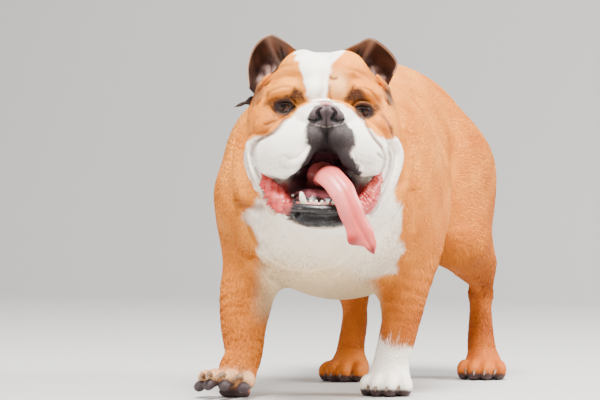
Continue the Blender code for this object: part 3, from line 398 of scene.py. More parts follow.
    # nose leather: broad below, with rounded wings, deep comma nostrils and the groove under it
    s.ball((0.017, -0.036, -0.010), (0.015, 0.015, 0.012), width=0.006, both=True)
    s.ball((0, -0.0500, -0.0085), (0.0165, 0.0120, 0.0105), width=0.002)
    s.ball((0.0125, -0.0500, -0.0085), (0.0085, 0.0105, 0.0078), (0, 20, 0), width=0.003, both=True)
    s.ball((0.0055, -0.0560, -0.0040), (0.0070, 0.0080, 0.0070), width=0.003, both=True)
    s.ball((0, -0.0500, -0.0185), (0.0140, 0.0100, 0.0070), width=0.006)
    s.rope(
        [(0.0066, -0.0600, -0.0010), (0.0086, -0.0580, -0.0062), (0.0070, -0.0570, -0.0118)],
        (0.0012, 0.0027, 0.0026), 0.0010, carve=True, both=True,
    )
    s.rope(
        [(0.0074, -0.0570, -0.0132), (0.0135, -0.0560, -0.0148), (0.0205, -0.0500, -0.0132)],
        (0.0022, 0.0016, 0.0009), 0.0010, carve=True, both=True,
    )
    s.rope([(0, -0.0590, 0.0020), (0, -0.0612, -0.0060), (0, -0.0590, -0.020), (0, -0.0530, -0.030),
            (0, -0.0505, -0.048)], (0.0008, 0.0010, 0.0012, 0.0014), 0.0012, carve=True)
    s.rope(
        [(0.0235, -0.0540, -0.0200), (0.0245, -0.0520, -0.0080), (0.0170, -0.0520, 0.0030)],
        (0.0005, 0.0012, 0.0008), 0.004, carve=True, both=True,
    )
    # wrinkled burr under each ear
    s.rope([(0.062, 0.030, 0.040), (0.073, 0.030, 0.026), (0.079, 0.034, 0.008)],
           (0.003, 0.0045, 0.0025), 0.003, both=True)
    s.rope([(0.060, 0.022, 0.030), (0.070, 0.022, 0.016), (0.076, 0.028, 0.000)],
           (0.001, 0.0018, 0.001), 0.003, carve=True, both=True)
    # eye sockets, lids heavy above and drooping below, and the slit between them
    for x, y, z in EYES.values():
        side = math.copysign(1.0, x)
        s.ball((x, y - 0.006, z), (0.0120, 0.010, 0.0095), width=0.005, carve=True)
        s.ball((x, y, z), (EYE_RADIUS + 0.0026,) * 3, width=0.002)
        s.rope(
            [(x - 0.014 * side, y - 0.008, z + 0.001), (x - 0.006 * side, y - 0.0125, z + 0.0072),
             (x + 0.004 * side, y - 0.0120, z + 0.0076), (x + 0.014 * side, y - 0.0040, z + 0.0015)],
            (0.0012, 0.0034, 0.0034, 0.0014), 0.003,
        )
        s.rope(
            [(x - 0.013 * side, y - 0.007, z - 0.002), (x - 0.005 * side, y - 0.0105, z - 0.0098),
             (x + 0.005 * side, y - 0.0100, z - 0.0100), (x + 0.013 * side, y - 0.0030, z - 0.0010)],
            (0.0010, 0.0022, 0.0024, 0.0010), 0.003,
        )
        s.ball((x - 0.0005 * side, y - 0.013, z - 0.0010), (0.0090, 0.0095, 0.0056),
               (0, 8 * side, 0), 0.0012, carve=True)
    s.pose = BODY_POSE


COARSE, FINE, FINEST = 0.0032, 0.0012, 0.0008
STEPS = (COARSE, FINE, FINEST, FINE, COARSE, 0)
clay = Clay([
    graded_axis(*zip((-0.20, -0.066, 0.008, 0.116, 0.186, 0.20), STEPS)),
    graded_axis(*zip((-0.34, -0.33, -0.306, -0.216, -0.12, 0.37), STEPS)),
    graded_axis(*zip((-0.01, 0.185, 0.312, 0.354, 0.44, 0.45), STEPS)),
])
for model in (model_torso, model_neck, model_forelegs, model_hindlegs, model_paws, model_head):
    model(clay)

# Where the animal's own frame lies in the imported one: both know the middle of the left eye
eye_low, eye_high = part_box("eye_left")
SHIFT = (eye_low + eye_high) / 2 - HEAD_POSE @ Vector(EYES["eye_left"])
shift = np.array(SHIFT)

# The coat is thin, so the skin lies 1 mm under the form on the face and 2.5 mm on the body
FACE_COAT, BODY_COAT = 0.0010, 0.0025
gx, gy, gz = clay.axes
from_face = np.sqrt((gx[:, None, None] - 0.06) ** 2 + (gy[None, :, None] + 0.26) ** 2
                    + (gz[None, None, :] - 0.33) ** 2)
clay.value += FACE_COAT + (BODY_COAT - FACE_COAT) * np.clip((from_face - 0.09) / 0.06, 0, 1)
points, faces = clay.surface()
del clay, from_face

# The fine folds of face and neck: depth and width in millimetres, how dark their painted shade
# is inside, with some brown staining, and the line, in millimetres across and up. The face is seen
# from the front, the neck from the camera.

HEAD_BACK = np.array(HEAD_POSE.inverted())
FOLD_DEPTH = 1.3
SEEN_SLANT = 0.344
FLOOR_GAP = 0.0003
FACE_FOLDS = (
    (2.2, 2.4, 0.75, [(-40, -8), (-47, -14), (-53, -23), (-59, -29), (-71, -35), (-78, -40)]),
    (2.6, 2.2, 0.45, [(-71, -35), (-79, -42), (-81, -52), (-79, -63), (-75, -72), (-69, -84), (-65, -96)]),
    (2.6, 2.6, 0.50, [(-86, -12), (-90, -28), (-92, -43), (-90, -56), (-86, -70), (-80, -84), (-70, -102)]),
    (2.2, 2.0, 0.60, [(38, -6), (44, -13), (49, -25), (55, -34), (63, -42), (69, -53)]),
    (2.4, 2.0, 0.35, [(66, -46), (69, -54), (68, -64), (64, -74)]),
    (2.0, 2.2, 0.70, [(64, -2), (71, -11), (77, -22), (81, -34)]),
    (2.2, 2.4, 0.40, [(71, -42), (78, -52), (78, -66), (72, -80), (63, -98)]),
    (0.9, 2.4, 0.12, [(-70, 38), (-58, 45), (-46, 49), (-30, 48)]),
    (0.8, 2.2, 0.10, [(-72, 26), (-58, 34), (-44, 37), (-34, 36)]),
    (0.9, 2.4, 0.12, [(20, 47), (35, 44), (49, 39), (61, 30), (69, 20)]),
    (0.8, 2.2, 0.12, [(30, 36), (42, 34), (54, 27), (62, 17)]),
    (1.2, 1.8, 0.20, [(-70, 12), (-60, 20), (-49, 24), (-38, 24)]),
    (1.2, 1.8, 0.20, [(40, 26), (51, 22), (60, 13), (66, 5)]),
    (1.5, 1.8, 0.60, [(4, 37), (9, 34), (15, 36)]),
    (1.2, 1.5, 0.45, [(4, 28), (5, 17), (7, 8)]),
    (0.9, 2.0, 0.10, [(-50, -53), (-41, -58), (-33, -57), (-25, -50), (-22, -42)]),
    (0.9, 2.0, 0.10, [(-52, -63), (-42, -69), (-32, -68), (-24, -62)]),
    (0.9, 2.0, 0.10, [(31, -48), (35, -58), (43, -63), (56, -60)]),
    (0.8, 1.8, 0.10, [(36, -70), (46, -74), (58, -70)]),
    (1.3, 1.8, 0.25, [(-90, -33), (-81, -29), (-72, -28), (-62, -27)]),
    (1.0, 1.5, 0.20, [(-70, -20), (-62, -18), (-55, -14)]),
    (1.2, 1.6, 0.45, [(57, -49), (64, -54), (72, -56)]),
    (1.6, 1.2, 0.00, [(-16, 5), (-8, 7), (0, 8), (9, 7), (17, 5)]),
)
NECK_FOLDS = (
    (3.5, 5.0, 0.45, [(-140, 232), (-126, 230), (-112, 226), (-99, 229), (-92, 240)]),
    (2.5, 5.0, 0.30, [(-124, 226), (-119, 208), (-110, 188), (-99, 172)]),
    (2.5, 5.0, 0.25, [(-118, 168), (-106, 156), (-92, 148)]),
    (2.6, 5.0, 0.25, [(58, 288), (67, 276), (70, 258), (62, 244)]),
    (2.0, 5.0, 0.15, [(88, 250), (92, 225), (90, 196)]),
)


def near_line(x, z, line):
    """Distance to a line of millimetres, and a share that is 0 at its ends and 1 within."""
    nodes = np.array(line, float) / 1000
    near = np.full(x.shape, 1e9)
    share = np.zeros(x.shape)
    for k, ((ax, az), (bx, bz)) in enumerate(zip(nodes, nodes[1:])):
        dx, dz = bx - ax, bz - az
        t = np.clip(((x - ax) * dx + (z - az) * dz) / (dx * dx + dz * dz), 0, 1)
        gap = (x - ax - t * dx) ** 2 + (z - az - t * dz) ** 2
        share = np.where(gap < near, (k + t) / (len(nodes) - 1), share)
        near = np.minimum(near, gap)
    return np.sqrt(near), np.clip(np.minimum(share, 1 - share) / 0.18, 0, 1) ** 0.7


def head_place(p):
    """Places in the head's own frame."""
    return p @ HEAD_BACK[:3, :3].T + HEAD_BACK[:3, 3]


def pressed_folds(p):
    """Depth and painted shade (with some staining) at points: the greatest of the folds' own times exp(-(d
    / width)^2).

    Depths are those listed, times FOLD_DEPTH. Across the picture a point lies at x + SEEN_SLANT y.
    """
    h = head_place(p)
    depth, dark = np.zeros(len(p)), np.zeros(len(p))
    on_face = (np.abs(h[:, 0]) < 0.105) & (h[:, 1] < 0.045) & (np.abs(h[:, 2] + 0.03) < 0.09)
    on_neck = (p[:, 1] < -0.03) & (np.abs(h[:, 1]) > 0.04)
    across = p[:, 0] + SEEN_SLANT * p[:, 1]
    for lines, where, x, z in ((FACE_FOLDS, on_face, h[:, 0], h[:, 2]),
                               (NECK_FOLDS, on_neck, across, p[:, 2])):
        at = np.flatnonzero(where)
        for deep, width, shade_and_stain, line in lines:
            gap, within_ends = near_line(x[at], z[at], line)
            fall = np.exp(-((gap * 1000 / width) ** 2)) * within_ends
            depth[at] = np.maximum(depth[at], FOLD_DEPTH * deep / 1000 * fall)
            # how dark the fold is painted inside: painted shade, with some brown staining
            dark[at] = np.maximum(dark[at], shade_and_stain * fall)
    return depth, dark


points = points.astype(float)
quads = np.array([f for f in faces if len(f) == 4])
face_normal = np.cross(points[quads[:, 2]] - points[quads[:, 0]], points[quads[:, 3]] - points[quads[:, 1]])
outward = np.zeros_like(points)
for k in range(4):
    np.add.at(outward, quads[:, k], face_normal)
outward /= np.maximum(np.linalg.norm(outward, axis=1, keepdims=True), 1e-12)
points -= outward * pressed_folds(points)[0][:, None]
points[:, 2] = np.maximum(points[:, 2], FLOOR_GAP - shift[2])


def apply_modifiers(obj):
    """Makes the object's modifiers its mesh."""
    graph = bpy.context.evaluated_depsgraph_get()
    data = bpy.data.meshes.new_from_object(obj.evaluated_get(graph))
    obj.modifiers.clear()
    obj.data = data


def new_piece(name, points, faces, material):
    """An object with its place in its mesh, that rides on the model and has one material."""
    data = bpy.data.meshes.new(name)
    data.from_pydata([tuple(p) for p in points], [], [tuple(f) for f in faces])
    data.materials.append(material)
    data.polygons.foreach_set("use_smooth", [True] * len(data.polygons))
    data.update()
    obj = bpy.data.objects.new(name, data)
    bpy.context.scene.collection.objects.link(obj)
    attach(obj, "root")
    return obj


# The markings: tan over most of the body, white blaze, muzzle, chest and left foreleg, dark
# rims of eyes and lips. They are worked out at any point by functions, for skin and coat alike.

TAN = np.array((0.64, 0.190, 0.012))
PALE_AND_LIT_TAN = np.array((0.82, 0.33, 0.050))
RED_TAN = np.array((0.38, 0.080, 0.006))
WHITE = np.array((0.93, 0.85, 0.74))
CREAM = np.array((0.78, 0.58, 0.34))
BLACK_HAIR = np.array((0.014, 0.007, 0.007))
NOSE_GREY = np.array((0.052, 0.036, 0.036))
LIP_GREY = np.array((0.024, 0.015, 0.016))
GUM_DARK = np.array((0.050, 0.014, 0.018))
SOLE_DARK = np.array((0.060, 0.036, 0.034))
BROW_CREAM = np.array((0.72, 0.36, 0.13))
CREASE_STAIN_AND_SHADE = np.array((0.150, 0.048, 0.020))
EAR_ROOT_BROWN = np.array((0.110, 0.060, 0.038))
LIP_ROSE = np.array((0.72, 0.36, 0.32))
CREASE_RED = np.array((0.42, 0.12, 0.10))
PIT_SHADE_BLACK = np.array((0.004, 0.003, 0.003))
CHIN_BLACK = np.array((0.006, 0.004, 0.004))
CHIN_CREAM = np.array((0.30, 0.19, 0.11))
FOAM_AND_GLINT = np.array((0.36, 0.25, 0.24))
MOUTH_FLESH = np.array((0.44, 0.13, 0.14))
LIP_RED = np.array((0.34, 0.040, 0.034))

# Outlines in millimetres: on the face across and up from between the eyes, seen from the front,
# and for the chest across the picture and up from the floor
BLAZE = [(-36, 75), (-34, 62), (-31, 50), (-27, 36), (-24, 26), (-20, 16), (-14, 6), (4, 6),
         (1, 14), (3, 24), (5, 36), (8, 52), (16, 60), (24, 68), (24, 80), (-10, 84)]
MUZZLE = [(1, 9), (-16, 6), (-30, -1), (-39, -12), (-48, -16), (-55, -24), (-65, -32),
          (-78, -33), (-90, -40), (-92, -60), (-86, -76), (-76, -92), (-64, -104), (-48, -122),
          (-28, -142), (2, -148), (30, -142), (54, -122), (68, -106), (80, -84), (84, -60),
          (80, -44), (66, -38), (54, -27), (46, -18), (34, -4), (18, 5)]
LIP_PADS = [(-20, -15), (-24, -27), (-22, -38), (-18, -45), (-21, -53), (-27, -66), (-37, -80),
            (-34, -90), (-8, -66), (4, -54), (16, -66), (38, -94), (43, -84), (40, -71), (34, -60),
            (28, -50), (33, -42), (31, -28), (24, -15), (0, -12)]
EYE_SHADES = ([(-68, 8), (-56, 13), (-40, 15), (-35, 25), (-28, 23), (-19, 9), (-34, -1), (-44, -10),
               (-55, -7), (-61, 0)],
              [(18, 10), (25, 16), (31, 28), (39, 25), (45, 15), (56, 7), (65, 2), (58, -7), (49, -12),
               (42, -8), (35, 1), (26, 7)])
CHEST = [(-100, 300), (-100, 247), (-106, 230), (-119, 223), (-114, 203), (-107, 184), (-95, 167),
         (-85, 156), (-53, 144), (-16, 134), (20, 138), (68, 150), (74, 168), (76, 197), (74, 220),
         (65, 241), (58, 256), (61, 282), (66, 317), (64, 341), (56, 352), (38, 352), (44, 300)]
NOSE_LEATHER = [(-13, 2), (-19, -6), (-21, -13), (-17, -18), (0, -22), (18, -18), (22, -13),
                (20, -6), (13, 2), (0, 4)]
NOSE_TOP = [(-9, 5), (-5, 8), (4, 8), (9, 5), (5, 3), (-5, 3)]
NOSTRIL = [(4.6, -1.5), (7.6, -1.5), (9.6, -6), (9.0, -11.6), (14, -13.4), (20, -11.8),
           (20.6, -13.4), (14, -15.8), (8, -16.2), (4.6, -13)]
CHIN = [(-44, -103), (-38, -98), (0, -101), (38, -98), (44, -104), (39, -124), (20, -133),
        (-4, -135), (-28, -133), (-41, -126)]
CHIN_BELOW = [(-42, -112), (42, -112), (34, -136), (-4, -142), (-34, -138)]
LIP_CORNER = [(36, -104), (40, -84), (56, -80), (66, -76), (68, -92), (60, -110), (50, -122),
              (40, -120)]
EAR_EDGE = [(70, 26), (80, 24), (79, 4), (73, 8)]


def soft(value, low, high):
    """0 below low, 1 above high and 3 t^2 - 2 t^3 between them."""
    t = np.clip((value - low) / (high - low), 0.0, 1.0)
    return t * t * (3 - 2 * t)


def ripple(p, size, seed):
    """Smooth unevenness from -1 to 1: the mean of six plane waves of about the given length."""
    rng = np.random.default_rng(seed)
    total = 0.0
    for _ in range(6):
        way = rng.normal(size=3)
        way = way / np.linalg.norm(way) * rng.uniform(0.7, 1.6) * 2 * math.pi / size
        total = total + np.sin(p @ way + rng.uniform(0, 6.28))
    return total / 3.5


def within(x, z, outline, edge):
    """How far a point lies in an outline of millimetres: 1 inside, 0 outside, soft over edge."""
    nodes = np.array(outline, float) / 1000
    near = np.full(x.shape, 1e9)
    odd = np.zeros(x.shape, bool)
    for (ax, az), (bx, bz) in zip(nodes, np.roll(nodes, -1, axis=0)):
        dx, dz = bx - ax, bz - az
        t = np.clip(((x - ax) * dx + (z - az) * dz) / (dx * dx + dz * dz), 0, 1)
        near = np.minimum(near, (x - ax - t * dx) ** 2 + (z - az - t * dz) ** 2)
        cross = (az > z) != (bz > z)
        odd ^= cross & (x < (bx - ax) * (z - az) / (bz - az + 1e-12) + ax)
    distance = np.sqrt(near) * np.where(odd, 1, -1)
    return soft(distance, -edge, edge)


def spot(p, centre, radii):
    """1 in the middle of an ellipsoid, falling softly to 0 at its rim."""
    q = (p - np.array(centre)) / np.array(radii)
    return 1 - soft(np.sqrt((q * q).sum(axis=1)), 0.35, 1.0)


class Paint:
    """A colour at each point, over which tints are laid."""

    def __init__(self, colour):
        """Starts with a first colour."""
        self.colour = colour

    def lay(self, share, tint):
        """Moves the colour towards a tint by a share from 0 to 1."""
        self.colour = self.colour + (tint - self.colour) * np.clip(share, 0, 1)[..., None]


def body_tan(p):
    """Tan in soft clouds, paler higher up the back as painted light from above, redder and darker on legs
    and low parts as painted shade, and redder on the rump.
    """
    px, py, pz = p.T
    cloud = ripple(p, 0.11, 1)
    dapple = ripple(p, 0.034, 2) * 0.16
    # paler higher up the back: painted light from above, over clouds of the coat's own tone
    pale = 0.25 + 0.30 * cloud + dapple + 1.8 * (pz - 0.30)
    colour = TAN + (PALE_AND_LIT_TAN - TAN) * np.clip(pale, 0, 0.8)[:, None]
    # redder and darker on legs and low parts: painted shade; the rump is redder too
    low = soft(0.20 - pz, -0.02, 0.14)
    red = 0.40 * low - dapple + 0.45 * soft(py, 0.08, 0.24) * (1 - 0.6 * soft(pz, 0.30, 0.37))
    red = red + 0.30 * soft(px, 0.03, 0.06) * low * (1 - soft(py, 0.03, 0.06))
    return colour + (RED_TAN - colour) * np.clip(red, 0, 1)[:, None]


def paint_chest_and_sock(coat, p, h, face, wave):
    """White chest, throat and left forefoot, creamier low down, and a cream belly; the cream low down and
    on the belly is partly the hair's own and partly painted shade.
    """
    px, py, pz = p.T
    edge = ripple(p, 0.05, 6) * 0.006 + wave
    rear = -0.035 - 0.5 * (pz - 0.20)
    chest = within(px + SEEN_SLANT * py + edge, pz + 0.6 * edge, CHEST, 0.004)
    chest = chest * (1 - soft(py, rear - 0.02, rear + 0.02))
    chest = chest * (1 - face * (1 - soft(h[:, 1], 0.045, 0.075)) * soft(h[:, 2], -0.045, -0.031))
    chest = chest * (1 - soft(pz + edge, 0.280, 0.292) * soft(px, 0.0, 0.02))
    coat.lay(chest, WHITE * 0.97)
    # creamier low down: partly the hair's own cream, partly painted shade
    coat.lay(chest * (0.16 + 0.34 * soft(0.24 - pz, 0.0, 0.09) + 0.10 * ripple(p, 0.03, 15)), CREAM)
    # cream belly: partly the hair's own cream, partly painted shade
    belly = soft(0.172 - pz + edge, 0.0, 0.02) * (1 - soft(np.abs(px), 0.05, 0.075))
    coat.lay(belly * soft(0.16 - py, 0, 0.05) * soft(pz, 0.08, 0.12), CREAM)
    sock = soft(0.078 - pz + 0.5 * (0.075 - px) + edge, 0.0, 0.014)
    coat.lay(sock * soft(px, 0.02, 0.04) * (1 - soft(py, 0.02, 0.05)), WHITE)


def paint_feet(coat, p):
    """Dark soles under all four feet, and cream toes on the lifted one."""
    for name, (place, _, raised, size) in PAWS.items():
        foot = (p - np.array(place)) @ np.array(paw_pose(name).to_3x3()) / size**2
        of_foot = (np.abs(foot[:, 0]) < 0.045) & (np.abs(foot[:, 1]) < 0.06)
        sole = (1 - soft(foot[:, 2] + 0.12 * foot[:, 1], 0.004, 0.008)) * of_foot
        coat.lay(sole, SOLE_DARK)
        if raised:
            toes = (1 - soft(foot[:, 2], 0.014, 0.034)) * soft(-foot[:, 1], 0.0, 0.02)
            coat.lay(0.55 * toes * of_foot * (1 - sole), CREAM)


def paint_face(coat, p, h, face, front, wave):
    """Orange brows and cheeks, white blaze and muzzle, creases darkened as painted shade with some brown
    staining, and a dark edge by the ear.
    """
    x, y, z = h.T
    coat.lay(front * 0.35, TAN)
    coat.lay(front * 0.8 * spot(h, (0.015, -0.01, 0.028), (0.016, 0.03, 0.024)), BROW_CREAM)
    speckle = 0.6 + 0.8 * np.clip(ripple(p, 0.003, 9), 0, 1)
    coat.lay(front * 0.45 * speckle * spot(h, (-0.058, 0.0, -0.018), (0.016, 0.04, 0.015)),
             BLACK_HAIR * 4)
    coat.lay(front * 0.5 * spot(h, (-0.064, 0.01, -0.020), (0.024, 0.03, 0.022)), RED_TAN)
    coat.lay(front * 0.5 * spot(h, (0.064, 0.01, -0.020), (0.022, 0.03, 0.022)), RED_TAN)
    blaze = within(x + wave, z + wave, BLAZE, 0.0016) * face * (1 - soft(y, 0.05, 0.09))
    coat.lay(blaze, WHITE * 1.03)
    muzzle = within(x + 0.6 * wave, z + 0.6 * wave, MUZZLE, 0.0016)
    coat.lay(muzzle * (1 - soft(y, 0.045, 0.06)) * face, WHITE)
    left_cheek = soft(x, 0.052, 0.060) * soft(-z + wave, 0.030, 0.034)
    coat.lay(face * left_cheek * (1 - soft(y, 0.03, 0.05)), WHITE)
    # painted shade in the folds, with some brown staining: darker red tan low on the neck, brown above
    crease = np.where(p[:, 2:] < 0.26, RED_TAN * 0.5, CREASE_STAIN_AND_SHADE)
    coat.lay(np.clip(1.5 * pressed_folds(p)[1], 0, 0.85), crease)
    coat.lay(0.8 * front * within(x + wave, z + wave, EAR_EDGE, 0.002), BLACK_HAIR * 3)


def paint_eye_shades(coat, h, front, wave, fleck):
    """Dark hair over the inner corners of the eyes and round the lids."""
    x, _, z = h.T
    for outline, (ex, _, ez) in zip(EYE_SHADES, sorted(EYES.values())):
        dark = within(x + wave, z + wave, outline, 0.0026)
        tuft = soft(z, 0.006, 0.014) * (1 - soft(np.abs(x), 0.040, 0.056))
        coat.lay(dark * front * np.clip(0.62 + 0.30 * tuft + 0.22 * fleck, 0, 0.95), BLACK_HAIR * 1.6)
        away = np.sqrt(((x - ex) / 1.35) ** 2 + (z - ez + 0.001) ** 2)
        coat.lay((1 - soft(away + wave * 0.4, 0.0082, 0.0115)) * front * 0.92, BLACK_HAIR)


def paint_nose_and_pads(coat, p, h, front, wave, fleck):
    """Nose leather with its pits, grey upper lips and rows of whisker spots, with painted shade in pits and
    grooves and a painted highlight on top of the nose; gives their bareness.
    """
    x, y, z = h.T
    nose = within(x, z, NOSE_LEATHER, 0.0008) * (1 - soft(y, -0.048, -0.042))
    nose = nose * soft(-y, 0.038, 0.044)
    ahead = 1 - soft(y, -0.02, -0.01)
    pads = within(x + 0.8 * wave, z + 0.8 * wave, LIP_PADS, 0.0016) * ahead
    pads = pads * (1 - nose)
    rosy = within(x + wave, z + wave, LIP_PADS, 0.006) * ahead * soft(-z, 0.030, 0.045)
    coat.lay(0.5 * rosy * front, LIP_ROSE)
    grain = ripple(p, 0.0022, 8)
    coat.lay(pads * np.clip(0.97 + 0.02 * grain, 0, 1) * front, LIP_GREY * (1 + 0.25 * fleck)[:, None])
    inner = soft(-z - 1.35 * np.abs(x - 0.002), -0.012, 0.036)
    coat.lay(pads * 0.8 * inner * front, LIP_GREY * 0.35)
    # thin dark lines along the grooves under and down the middle of the nose: painted shade
    cleft_shade = np.exp(-(((x - 0.001) / 0.0011) ** 2)) * soft(y, -0.070, -0.060)
    coat.lay(pads * 0.8 * cleft_shade, LIP_GREY * 0.2)
    # the leather is painted lighter on top: a painted highlight
    coat.lay(nose, NOSE_GREY * (1 + 0.9 * soft(z, -0.008, 0.003))[:, None])
    coat.lay(nose * 0.8 * np.exp(-((x / 0.0009) ** 2)), LIP_GREY * 0.25)
    coat.lay(0.8 * within(x, z, NOSE_TOP, 0.001) * soft(-y, 0.034, 0.040), CREASE_RED)
    # the nostril pits painted black where they go deep: painted shade
    for side in (1, -1):
        pit_shade = within(side * x, z, NOSTRIL, 0.0005)
        coat.lay(pit_shade * nose * soft(y, -0.0606, -0.0592), PIT_SHADE_BLACK)
    for side in (1, -1):
        for row in range(3):
            for k in range(5):
                across, up = side * (0.040 + 0.0052 * k), -0.052 - 0.0062 * row - 0.0015 * k
                near = (x - across) ** 2 + (z - up) ** 2
                coat.lay(0.38 * np.exp(-near / 0.0011**2) * front, RED_TAN * 0.5)
    return np.maximum(nose, 0.44 * pads)


def paint_mouth(coat, p, h, front, wave, fleck):
    """The lining of the mouth, the dark chin and the red lips; gives how bare and how wet they are."""
    x, y, z = h.T
    cave = spot(h, (0, -0.020, -0.084), (0.052, 0.066, 0.044))
    lining = np.clip(cave * 3.0, 0, 1) * soft(-z, 0.046, 0.052) * soft(y, -0.046, -0.038)
    coat.lay(lining, GUM_DARK)
    flesh = MOUTH_FLESH * (1 + 0.25 * ripple(p, 0.008, 14))[:, None]
    coat.lay(lining * soft(-z, 0.078, 0.092) * (1 - 0.6 * soft(y, 0.0, 0.03)), flesh)
    below = within(x + wave, z + wave, CHIN_BELOW, 0.006) * (1 - soft(y, -0.016, 0.0))
    coat.lay(0.75 * below * front, CHIN_CREAM)
    chin = within(x + wave, z + wave, CHIN, 0.002) * (1 - soft(y, -0.026, -0.014))
    coat.lay(chin, CHIN_BLACK * (1 + 0.8 * np.clip(fleck, 0, 1))[:, None])
    # pale flecks on the wet chin: partly foam, partly painted wet highlights
    streaks = ripple(p * np.array((0.4, 1, 1)), 0.0022, 33) + 0.4 * fleck
    foam_and_glint = soft(streaks, 0.75, 1.2) * soft(-z, 0.102, 0.106) * (1 - soft(-z, 0.114, 0.120))
    coat.lay(0.30 * chin * foam_and_glint, FOAM_AND_GLINT)
    bare = chin
    for side in (1, -1):
        lip = within(side * x, z, LIP_CORNER, 0.003) * (1 - soft(y, -0.012, 0.0))
        coat.lay(lip, LIP_RED)
        bare = np.maximum(bare, lip)
    wet = np.maximum(bare * np.clip(0.50 + 0.4 * fleck, 0, 1), lining)
    return np.maximum(bare, lining), wet


def markings(p):
    """Colour of the coat, how bare the skin is and how wet, at points of the animal's frame."""
    h = head_place(p)
    x, y, z = h.T
    # unevenness that makes the edges of the markings wander, and a finer one of the hairs
    wave = ripple(p, 0.016, 3) * 0.0022 + ripple(p, 0.006, 4) * 0.0010
    fleck = ripple(p, 0.0035, 12)
    far = np.sqrt((x / 0.098) ** 2 + ((y - 0.02) / 0.115) ** 2 + ((z + 0.03) / 0.125) ** 2)
    face = 1 - soft(far, 0.95, 1.1)
    front = face * (1 - soft(y, 0.030, 0.055))
    coat = Paint(body_tan(p))
    paint_chest_and_sock(coat, p, h, face, wave)
    paint_feet(coat, p)
    paint_face(coat, p, h, face, front, wave)
    paint_eye_shades(coat, h, front, wave, fleck)
    bare_nose = paint_nose_and_pads(coat, p, h, front, wave, fleck)
    bare_mouth, wet = paint_mouth(coat, p, h, front, wave, fleck)
    for side in (1, -1):
        coat.lay(0.75 * spot(h, (side * 0.078, 0.034, 0.022), (0.017, 0.022, 0.028)), EAR_ROOT_BROWN)
    return np.clip(coat.colour, 0.004, 0.95), np.maximum(bare_nose, bare_mouth), wet


def paint_points(obj, colour, wet):
    """Keeps the colour and the wetness of each point, or one wetness for all, on the mesh."""
    count = len(obj.data.vertices)
    tint = obj.data.attributes.new("coat_colour", "FLOAT_COLOR", "POINT")
    tint.data.foreach_set("color", np.hstack([colour, np.ones((count, 1))]).astype(np.float32).ravel())
    damp = obj.data.attributes.new("wet", "FLOAT", "POINT")
    damp.data.foreach_set("value", np.full(count, wet, np.float32))


def surface_material(name, roughness, bump=0.0, scale=900.0):
    """A finish that takes its colour from the points, its gloss from their wetness."""
    material = bpy.data.materials.new(name)
    material.use_nodes = True
    nodes, links = material.node_tree.nodes, material.node_tree.links
    shader = nodes["Principled BSDF"]
    colour = nodes.new("ShaderNodeAttribute")
    colour.attribute_name = "coat_colour"
    wet = nodes.new("ShaderNodeAttribute")
    wet.attribute_name = "wet"
    place = nodes.new("ShaderNodeTexCoord")
    grain = nodes.new("ShaderNodeTexNoise")
    grain.inputs["Scale"].default_value = scale
    grain.inputs["Detail"].default_value = 3
    links.new(place.outputs["Object"], grain.inputs["Vector"])
    vary = nodes.new("ShaderNodeMix")
    vary.data_type = "RGBA"
    vary.blend_type = "MULTIPLY"
    vary.inputs["Factor"].default_value = 1.0
    spread = nodes.new("ShaderNodeMapRange")
    spread.inputs["To Min"].default_value = 0.78
    spread.inputs["To Max"].default_value = 1.18
    links.new(grain.outputs["Fac"], spread.inputs["Value"])
    links.new(colour.outputs["Color"], vary.inputs["A"])
    links.new(spread.outputs["Result"], vary.inputs["B"])
    links.new(vary.outputs["Result"], shader.inputs["Base Color"])
    gloss = nodes.new("ShaderNodeMapRange")
    gloss.inputs["To Min"].default_value = roughness
    gloss.inputs["To Max"].default_value = 0.18
    links.new(wet.outputs["Fac"], gloss.inputs["Value"])
    links.new(gloss.outputs["Result"], shader.inputs["Roughness"])
    sheen = nodes.new("ShaderNodeMapRange")
    sheen.inputs["To Min"].default_value = 0.16
    sheen.inputs["To Max"].default_value = 0.60
    links.new(wet.outputs["Fac"], sheen.inputs["Value"])
    links.new(sheen.outputs["Result"], shader.inputs["Specular IOR Level"])
    if bump:
        rise = nodes.new("ShaderNodeBump")
        rise.inputs["Strength"].default_value = bump
        rise.inputs["Distance"].default_value = 0.0006
        links.new(grain.outputs["Fac"], rise.inputs["Height"])
        links.new(rise.outputs["Normal"], shader.inputs["Normal"])
    return material


# The skin: one supple hide over all the flesh, bare leather on nose and lips and under the coat
# elsewhere. It is the surface of the form with its folds, thinned out, and carries the markings.

skin_finish = surface_material("bulldog_skin", 0.62, bump=0.5, scale=700.0)
skin = new_piece("skin", points + shift, faces, skin_finish)
SKIN_TRIANGLES = 190000
thin = skin.modifiers.new("thin", "DECIMATE")
thin.ratio = min(1.0, SKIN_TRIANGLES / sum(len(f) - 2 for f in faces))
apply_modifiers(skin)
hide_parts("head", "jaw", "neck", "torso", "tail", "foreleg_left", "foreleg_right",
            "hindleg_left", "hindleg_right", "forepaw_left", "forepaw_right", "hindpaw_left",
            "hindpaw_right")
skin_at = np.empty(len(skin.data.vertices) * 3, np.float32)
skin.data.vertices.foreach_get("co", skin_at)
skin_at = skin_at.reshape(-1, 3).astype(float) - shift
skin_colour, skin_bare, skin_wet = markings(skin_at)
paint_points(skin, skin_colour, skin_wet)

# The coat: short flat locks, each a slim spindle of four faces, that overlap like shingles.
# They lie back from the nose, along the body and down the legs, and are smallest on the face.
# Each is rooted in the skin, more of them where the skin is wide and none where it is bare.

